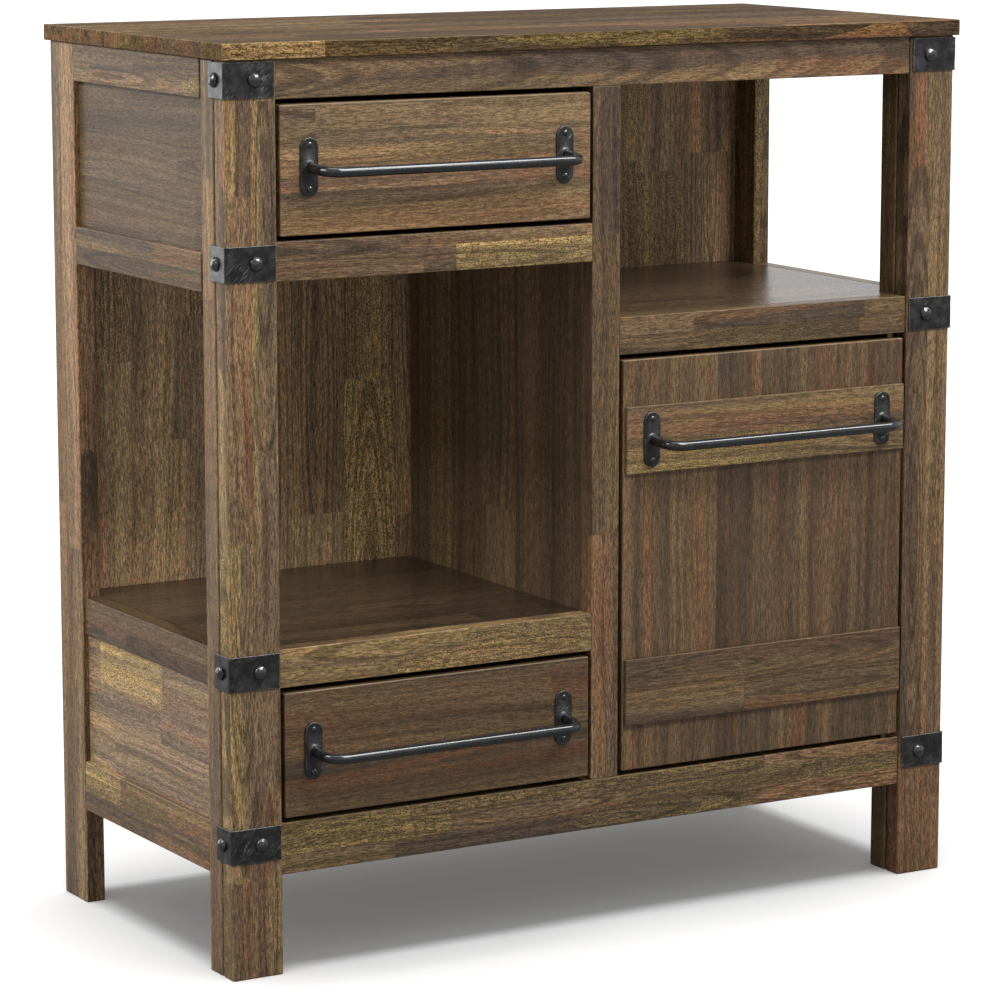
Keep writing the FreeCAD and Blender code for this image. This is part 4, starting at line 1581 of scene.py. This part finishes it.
@dataclass
class Handle(SubAssembly):
    """Bent bar on two stadium-shaped plates, each held by two screws."""

    node: str = "door_handle"
    bar: float = 5.0 * MM
    bar_sunk: float = 0.3
    reach: float = 33.1 * MM
    bend: float = 17.0 * MM
    droop: float = math.radians(5.0)
    plate_width: float = 19.0 * MM
    plate_thickness: float = 2.5 * MM
    plate_edge: float = 0.9 * MM
    back_edge: float = 0.15 * MM
    half_edge: float = 0.29
    past_edge: float = 1.6
    edge_rub: float = 0.18
    sharp: float = math.radians(50)
    boss_radius: float = 7.4 * MM
    boss: float = 2.5 * MM
    boss_grip: float = 0.98
    boss_hollow: float = 1.7
    boss_levels: tuple[float, ...] = (0.0, 0.25, 0.55, 0.8, 1.0)
    weld: float = 0.25 * MM
    first_seed: int = 90
    screw: Head = Head(2.9 * MM, 1.7 * MM, uneven=0.04)
    screw_rise: float = 21.0 * MM
    half_turn: int = 20

    @property
    def leg(self) -> Vector:
        """Way from the handle's middle to its right leg."""
        return RIGHTWARD * ((Span.of(self.node).size.x - self.plate_width) / 2)

    @property
    def seat(self) -> Vector:
        """Middle of the handle on the face that it is screwed to."""
        span = Span.of(self.node)
        return Vector((span.centre.x, span.hi.y, span.centre.z))

    def outline(self, inset: float) -> np.ndarray:
        """Stadium outline of a plate.

        Args:
            inset: Distance inside the plate's edge.

        Returns:
            Points in X and Z about the plate's centre.
        """
        radius = self.plate_width / 2
        rise = Span.of(self.node).size.z / 2 - radius
        turns = np.linspace(0, math.pi, self.half_turn + 1)
        upper = np.stack([np.cos(turns) * (radius - inset), np.sin(turns) * (radius - inset) + rise], 1)
        return np.concatenate([upper, -upper])

    def rings(self, seed: int) -> list[tuple[np.ndarray, float, float]]:
        """Rings of points from a plate's back to the weld round the root of the bar.

        Args:
            seed: Seed of the weld's unevenness.

        Returns:
            Each ring's points in X and Z, its distance from the seat and its rim value.
        """
        dice = np.random.default_rng(seed)
        face = self.plate_thickness
        edge = self.plate_edge
        half = edge * self.half_edge
        made = [
            (self.outline(self.back_edge), 0.0, 0.0),
            (self.outline(0.0), 2 * self.back_edge, 0.0),
            (self.outline(0.0), face - edge, 0.0),
            (self.outline(half), face - half, self.edge_rub),
            (self.outline(edge), face, 0.0),
            (self.outline(edge * self.past_edge), face, 0.0),
        ]
        around = 2 * (self.half_turn + 1)
        turns = np.linspace(0, math.tau, around, endpoint=False) - math.pi / around
        circle = np.stack([np.cos(turns), np.sin(turns)], 1)
        wobble = dice.uniform(-self.weld, self.weld, around)
        for level in self.boss_levels:
            swell = (self.boss_radius - self.bar) * (1 - level) ** self.boss_hollow
            radius = self.bar * self.boss_grip + swell + wobble * (1 - level)
            made.append((circle * radius[:, None], face + self.boss * level, 0.0))
        return made

    def plate(self, side: int, seed: int) -> tuple[list[Triple], list[list[int]], list[float]]:
        """Backplate with rounded edges and a weld round the root of the bar.

        Args:
            side: -1 for the left plate, 1 for the right one.
            seed: Seed of the weld's unevenness.

        Returns:
            Its points, faces and rim values.
        """
        rings = self.rings(seed)
        around = len(rings[0][0])
        middle = self.seat + side * self.leg
        points, faces, rims = [], [], []
        for ring, lift, rim in rings:
            points += [(middle.x + x, middle.y - lift, middle.z + z) for x, z in ring]
            rims += [rim] * around
        last = (len(rings) - 1) * around
        for low in range(0, last, around):
            for i in range(around):
                j = (i + 1) % around
                faces.append([low + i, low + j, low + around + j, low + around + i])
        faces.append(list(range(around))[::-1])
        faces.append(list(range(last, last + around)))
        return points, faces, rims

    def build(self) -> None:
        """Build and dress the bar, its plates and their screws."""
        self.build_bar()
        self.build_plates()
        face = self.seat + FORWARD * self.plate_thickness
        seats = [(face + side * self.leg + Vector((0, 0, rise)), FORWARD)
                 for side in (-1, 1) for rise in (-self.screw_rise, self.screw_rise)]
        self.fasten("iron_screws_" + self.node, self.screw, "screw", seats)

    def build_bar(self) -> None:
        """Build and dress the bar, from one plate out to the grip and back to the other plate."""
        name = "iron_bar_" + self.node
        droop = Vector((0, -math.cos(self.droop), -math.sin(self.droop)))
        root = self.seat + FORWARD * (self.plate_thickness + self.boss * self.bar_sunk)
        grip = self.seat + FORWARD * (self.plate_thickness + self.boss) + droop * self.reach
        corners = [root - self.leg, grip - self.leg, grip + self.leg, root + self.leg]
        line = bpy.data.meshes.new(name)
        line.from_pydata([tuple(c) for c in corners], [(0, 1), (1, 2), (2, 3)], [])
        bar = run_nodes(add_object(name, line), Trees.bar, {
            "Radius": self.bar, "Bend": self.bend, "Material": self.finishes["bar"].material})
        self.settle(bar, "bar", [self.node])

    def build_plates(self) -> None:
        """Build and dress the two plates."""
        name = "iron_plates_" + self.node
        points, faces, rims = [], [], []
        for side in (-1, 1):
            more, quads, rim = self.plate(side, self.first_seed + side)
            faces += [[i + len(points) for i in quad] for quad in quads]
            points += more
            rims += rim
        sheet = bpy.data.meshes.new(name)
        sheet.from_pydata(points, [], faces)
        write_attribute(sheet, "rim", np.array(rims))
        sheet.shade_smooth()
        sheet.set_sharp_from_angle(angle=self.sharp)
        self.settle(add_object(name, sheet), "iron")


@dataclass
class Drawer(SubAssembly):
    """One drawer: front, box, handle and the channels that run with it."""

    level: str = "upper"
    tone: Tone = Tone.MIXED
    seed: int = 50
    shade: float = 1.0
    contrast: float = 1.0
    staves: Staves = NARROW_FRONT
    channel_web: float = 8.5 * MM
    screw: Head = Head(3.2 * MM, 1.76 * MM)
    screw_shares: Triple = (0.08, 0.50, 0.92)

    def __post_init__(self) -> None:
        """Name the drawer's own body."""
        self.body = self.level + "_drawer"

    def build(self) -> None:
        """Build and dress the drawer."""
        front = Board(self.body + "_front", Axis.X, self.staves, self.tone, self.seed, self.shade,
                      contrast=self.contrast, edge_wear_and_highlight=HANDLED_EDGE_WEAR_AND_HIGHLIGHT, ease=HANDLED_EASE)
        self.settle(front.build(), "outer", [front.node])
        pieces = (("left_side", Axis.Y), ("right_side", Axis.Y), ("back", Axis.X), ("bottom", Axis.X))
        for seed, (piece, grain) in enumerate(pieces, self.seed + 1):
            board = Board(f"{self.body}_{piece}", grain, BOX, Tone.CALM, seed, ease=BOX_EASE)
            self.settle(board.build(), "inner", [board.node])
        Handle(self.finishes, self.body, self.body + "_handle").build()
        self.keep(self.level + "_slide_drawer_channels", "zinc")
        self.keep(self.level + "_slide_middle_channels", "zinc")
        self.fix_channels()

    def fix_channels(self) -> None:
        """Screw the drawer channels to the box, with heads inside the channels."""
        span = Span.of(self.level + "_slide_drawer_channels")
        webs = ((span.lo.x + self.channel_web, LEFTWARD), (span.hi.x - self.channel_web, RIGHTWARD))
        seats = [(Vector((x, span.lo.y + share * span.size.y, span.centre.z)), facing)
                 for x, facing in webs for share in self.screw_shares]
        self.fasten("zinc_screws_" + self.body, self.screw, "zinc", seats)


@dataclass
class Door(SubAssembly):
    """The door: a panel of upright staves, two battens, its handle, pivots and strike."""

    body: str = "door"
    boards: tuple[Board, ...] = (
        Board("door_panel", Axis.Z, DOOR, Tone.RUDDY, 61, 0.72, flat_sawn=0.0, edge_wear_and_highlight=HANDLED_EDGE_WEAR_AND_HIGHLIGHT,
              ease=HANDLED_EASE),
        Board("door_top_batten", Axis.X, BATTEN, Tone.MIXED, 62, 1.0, ease=BATTEN_EASE),
        Board("door_bottom_batten", Axis.X, BATTEN, Tone.RUSSET, 63, 0.80, ease=BATTEN_EASE),
    )
    screw: Head = Head(2.3 * MM, 1.265 * MM)
    screw_rise: float = 12.0 * MM

    def build(self) -> None:
        """Build and dress the door."""
        for board in self.boards:
            self.settle(board.build(), "outer", [board.node])
        Handle(self.finishes, self.body, "door_handle").build()
        self.keep("door_pivot_pins", "zinc")
        self.keep("catch_strike", "zinc")
        strike = Span.of("catch_strike")
        seats = [(Vector((strike.centre.x, strike.hi.y, strike.centre.z + rise)), BACKWARD)
                 for rise in (-self.screw_rise, self.screw_rise)]
        self.fasten("zinc_screws_strike", self.screw, "zinc", seats)


@dataclass
class Fittings(SubAssembly):
    """Fixed hardware inside the case."""

    arm_ease: float = 1.6 * MM
    foot: float = 2.5 * MM
    foot_rise: float = 16.0 * MM
    foot_depth: float = 24.0 * MM
    foot_ease: float = 1.0 * MM
    pole: Triple = (15.0 * MM, 4.0 * MM, 1.6 * MM)
    pole_from_end: float = 18.0 * MM
    pole_proud: float = 0.15 * MM
    pole_gap: float = 5.0 * MM
    pole_ease: float = 0.3 * MM
    screw: Head = Head(2.4 * MM, 1.32 * MM)
    screw_from_front: float = 12.0 * MM
    screw_rise: float = 12.6 * MM

    def build(self) -> None:
        """Build the door catch and dress the slide channels, packing blocks and bushes."""
        self.keep("slide_fixed_channels", "zinc")
        self.keep("door_pivot_bushes", "brass")
        block = FittedBoard("slide_packing_blocks", Axis.Y, RAIL, Tone.CALM, 49)
        self.settle(block.build(), "inner", [block.node])
        self.build_catch()

    def build_catch(self) -> None:
        """Build the catch: a moulded arm on a screwed foot, with two pole plates at its end."""
        arm = Span.of("magnet_catch")
        foot_lo = (arm.lo.x, arm.lo.y, arm.centre.z - self.foot_rise)
        foot_size = (self.foot, self.foot_depth, 2 * self.foot_rise)
        housing = joined([moulded(arm.lo, arm.size, self.arm_ease),
                          moulded(foot_lo, foot_size, self.foot_ease)])
        self.settle(housing.piece("plastic_magnet_catch"), "plastic", ["magnet_catch"])

        poles, seats = [], []
        for side in (-1, 1):
            low = arm.centre.z + side * self.pole_gap / 2 - self.pole[2] / 2
            lo = (arm.hi.x - self.pole_from_end, arm.lo.y - self.pole_proud, low)
            poles.append(moulded(lo, self.pole, self.pole_ease))
            screw = (arm.lo.x + self.foot, arm.lo.y + self.screw_from_front,
                     arm.centre.z + side * self.screw_rise)
            seats.append((Vector(screw), RIGHTWARD))
        self.settle(joined(poles).piece("zinc_catch_poles"), "zinc")
        self.fasten("zinc_screws_catch", self.screw, "zinc", seats)


class Lit(Enum):
    """What a light of the studio falls on."""

    PIECES = "all_but_floor"
    IRON = "iron_only"
    FLOOR = "floor_only"

    def receivers(self, floor: bpy.types.Object) -> bpy.types.Collection:
        """Collection that limits a light.

        Args:
            floor: The studio's floor.

        Returns:
            A collection of what the light falls on, or of the floor that it leaves out.
        """
        group = bpy.data.collections.new(self.value)
        iron = [piece for piece in bpy.context.scene.objects if piece.name.startswith("iron_")]
        for piece in iron if self is Lit.IRON else [floor]:
            group.objects.link(piece)
        if self is Lit.PIECES:
            group.collection_objects[0].light_linking.link_state = "EXCLUDE"
        return group


@dataclass(frozen=True)
class SoftBox:
    """Soft light that faces a point."""

    name: str
    place: Triple
    aim: Triple
    width: float
    height: float
    power: float
    lit: Lit = Lit.PIECES

    def build(self, receivers: bpy.types.Collection) -> None:
        """Build the light.

        Args:
            receivers: Collection that limits what the light falls on.
        """
        lamp = bpy.data.lights.new(self.name, "AREA")
        lamp.shape = "RECTANGLE"
        lamp.size = self.width
        lamp.size_y = self.height
        lamp.energy = self.power
        made = add_object(self.name, lamp)
        made.location = self.place
        made.rotation_euler = (Vector(self.place) - Vector(self.aim)).to_track_quat("Z", "Y").to_euler()
        made.light_linking.receiver_collection = receivers
        made.visible_camera = False


@dataclass(frozen=True)
class Studio:
    """White floor, soft light from all round and the photograph's camera."""

    camera_place: Triple = (-2.1168, -3.5564, 1.1181)
    yaw: float = math.radians(30.523)
    pitch: float = math.radians(9.723)
    lens: float = 146.185
    sensor: float = 36.0
    clip_end: float = 200.0
    floor_reach: float = 40.0
    floor_white: float = 0.95
    floor_bounce: float = 0.36
    floor_glow: float = 0.10
    sky: float = 0.38
    sun_strength: float = 1.20
    wash_strength: float = 1.70
    sun_angle: float = math.radians(36.0)
    sun_from: Triple = (0.0, -0.04, 1.0)
    boxes: tuple[SoftBox, ...] = (
        SoftBox("front_box", (0.40, -1.7, 2.2), (0.0, 0.0, 0.75), 1.2, 0.7, 42.0),
        SoftBox("left_box", (-2.0, 0.1, 1.9), (-0.4, 0.0, 0.6), 1.2, 0.8, 40.0),
        SoftBox("haze_box", (-1.9, 2.3, 0.9), (-0.42, -0.1, 0.5), 1.6, 1.6, 5.0),
        SoftBox("rim_box", (-1.7, 2.0, 0.9), (-0.42, -0.1, 0.5), 1.6, 1.6, 22.0, Lit.IRON),
        SoftBox("line_box", (1.1, -1.0, 2.7), (1.1, -0.24, 0.6), 2.4, 0.60, 112.0, Lit.IRON),
    )

    def build(self) -> None:
        """Build the floor, the light and the camera."""
        floor = self.build_floor()
        self.build_world()
        self.build_sun("overhead", self.sun_strength)
        wash = self.build_sun("floor_wash", self.wash_strength)
        wash.light_linking.receiver_collection = Lit.FLOOR.receivers(floor)
        groups = {lit: lit.receivers(floor) for lit in (Lit.PIECES, Lit.IRON)}
        for box in self.boxes:
            box.build(groups[box.lit])
        self.build_camera()

    def seen(self, sketch: Sketch, in_gloss: bool) -> Socket:
        """Mask of the rays that show the background.

        Args:
            sketch: Sketch on the tree of the floor or the world.
            in_gloss: Whether glossy surfaces mirror the background too.

        Returns:
            1 for those rays and 0 for the rays that only light.
        """
        path = sketch.node("ShaderNodeLightPath").outputs
        direct = sketch.math("MAXIMUM", path["Is Camera Ray"], path["Is Transmission Ray"])
        return sketch.math("MAXIMUM", direct, path["Is Glossy Ray"]) if in_gloss else direct

    def build_floor(self) -> bpy.types.Object:
        """Build the floor, white with a slight glow where it is seen.

        Returns:
            The floor.
        """
        reach = self.floor_reach
        mesh = bpy.data.meshes.new("studio_floor")
        mesh.from_pydata([(-reach, -reach, 0), (reach, -reach, 0), (reach, reach, 0), (-reach, reach, 0)],
                         [], [(0, 1, 2, 3)])
        floor = add_object("studio_floor", mesh)
        material = bpy.data.materials.new("studio_floor")
        material.use_nodes = True
        material.node_tree.nodes.clear()
        sketch = Sketch(material.node_tree)
        seen = self.seen(sketch, in_gloss=False)
        white = sketch.mix(seen, grey(self.floor_bounce), grey(self.floor_white))
        matte = sketch.node("ShaderNodeBsdfDiffuse", {"Color": white})
        glow = sketch.node("ShaderNodeEmission", {"Strength": sketch.times(seen, self.floor_glow)})
        both = sketch.node("ShaderNodeAddShader", {0: matte.outputs[0], 1: glow.outputs[0]})
        sketch.node("ShaderNodeOutputMaterial", {"Surface": both.outputs[0]})
        mesh.materials.append(material)
        return floor

    def build_world(self) -> None:
        """Build a world that lights softly and shows white."""
        world = bpy.data.worlds.new("studio")
        bpy.context.scene.world = world
        world.use_nodes = True
        world.node_tree.nodes.clear()
        sketch = Sketch(world.node_tree)
        lamp = sketch.node("ShaderNodeBackground", {"Color": grey(1.0), "Strength": self.sky})
        white = sketch.node("ShaderNodeBackground", {"Color": grey(1.0), "Strength": 1.0})
        pick = sketch.node("ShaderNodeMixShader", {
            0: self.seen(sketch, in_gloss=True), 1: lamp.outputs[0], 2: white.outputs[0]})
        sketch.node("ShaderNodeOutputWorld", {"Surface": pick.outputs[0]})

    def build_sun(self, name: str, strength: float) -> bpy.types.Object:
        """Build one broad overhead light.

        Args:
            name: Name of the light.
            strength: Its strength.

        Returns:
            The light.
        """
        lamp = bpy.data.lights.new(name, "SUN")
        lamp.energy = strength
        lamp.angle = self.sun_angle
        made = add_object(name, lamp)
        made.rotation_euler = Vector(self.sun_from).to_track_quat("Z", "Y").to_euler()
        return made

    def build_camera(self) -> None:
        """Build the camera at the photograph's viewing angle."""
        lens = bpy.data.cameras.new("camera")
        lens.lens = self.lens
        lens.sensor_width = self.sensor
        lens.clip_end = self.clip_end
        made = add_object("camera", lens)
        made.location = self.camera_place
        made.rotation_euler = (math.pi / 2 - self.pitch, 0.0, -self.yaw)
        bpy.context.scene.camera = made


def main() -> None:
    """Build the cabinet's pieces and the studio in order."""
    logging.basicConfig(level=logging.INFO, format="%(name)s: %(message)s")
    bpy.context.scene.view_settings.view_transform = "Standard"
    Shared.build()
    Trees.build()
    looks = {
        "outer": OUTER, "top": TOP, "side": SIDE_PAINTED_SHEEN, "inner": INNER, "shelf": SHELF,
        "iron": IRON, "bar": BAR_IRON, "screw": SCREW_IRON,
        "zinc": ZINC, "brass": BRASS, "plastic": PLASTIC,
    }
    finishes = {name: Dressing(look.material(), look.slot) for name, look in looks.items()}
    Case(finishes).build()
    Ironwork(finishes).build()
    Drawer(finishes, level="upper", tone=Tone.CALM, seed=51, shade=1.27).build()
    Drawer(finishes, level="lower", tone=Tone.RUDDY, seed=66, shade=0.65, contrast=0.65,
           staves=WIDE_FRONT).build()
    Door(finishes).build()
    Fittings(finishes).build()
    Studio().build()


if __name__ == "__main__":
    main()
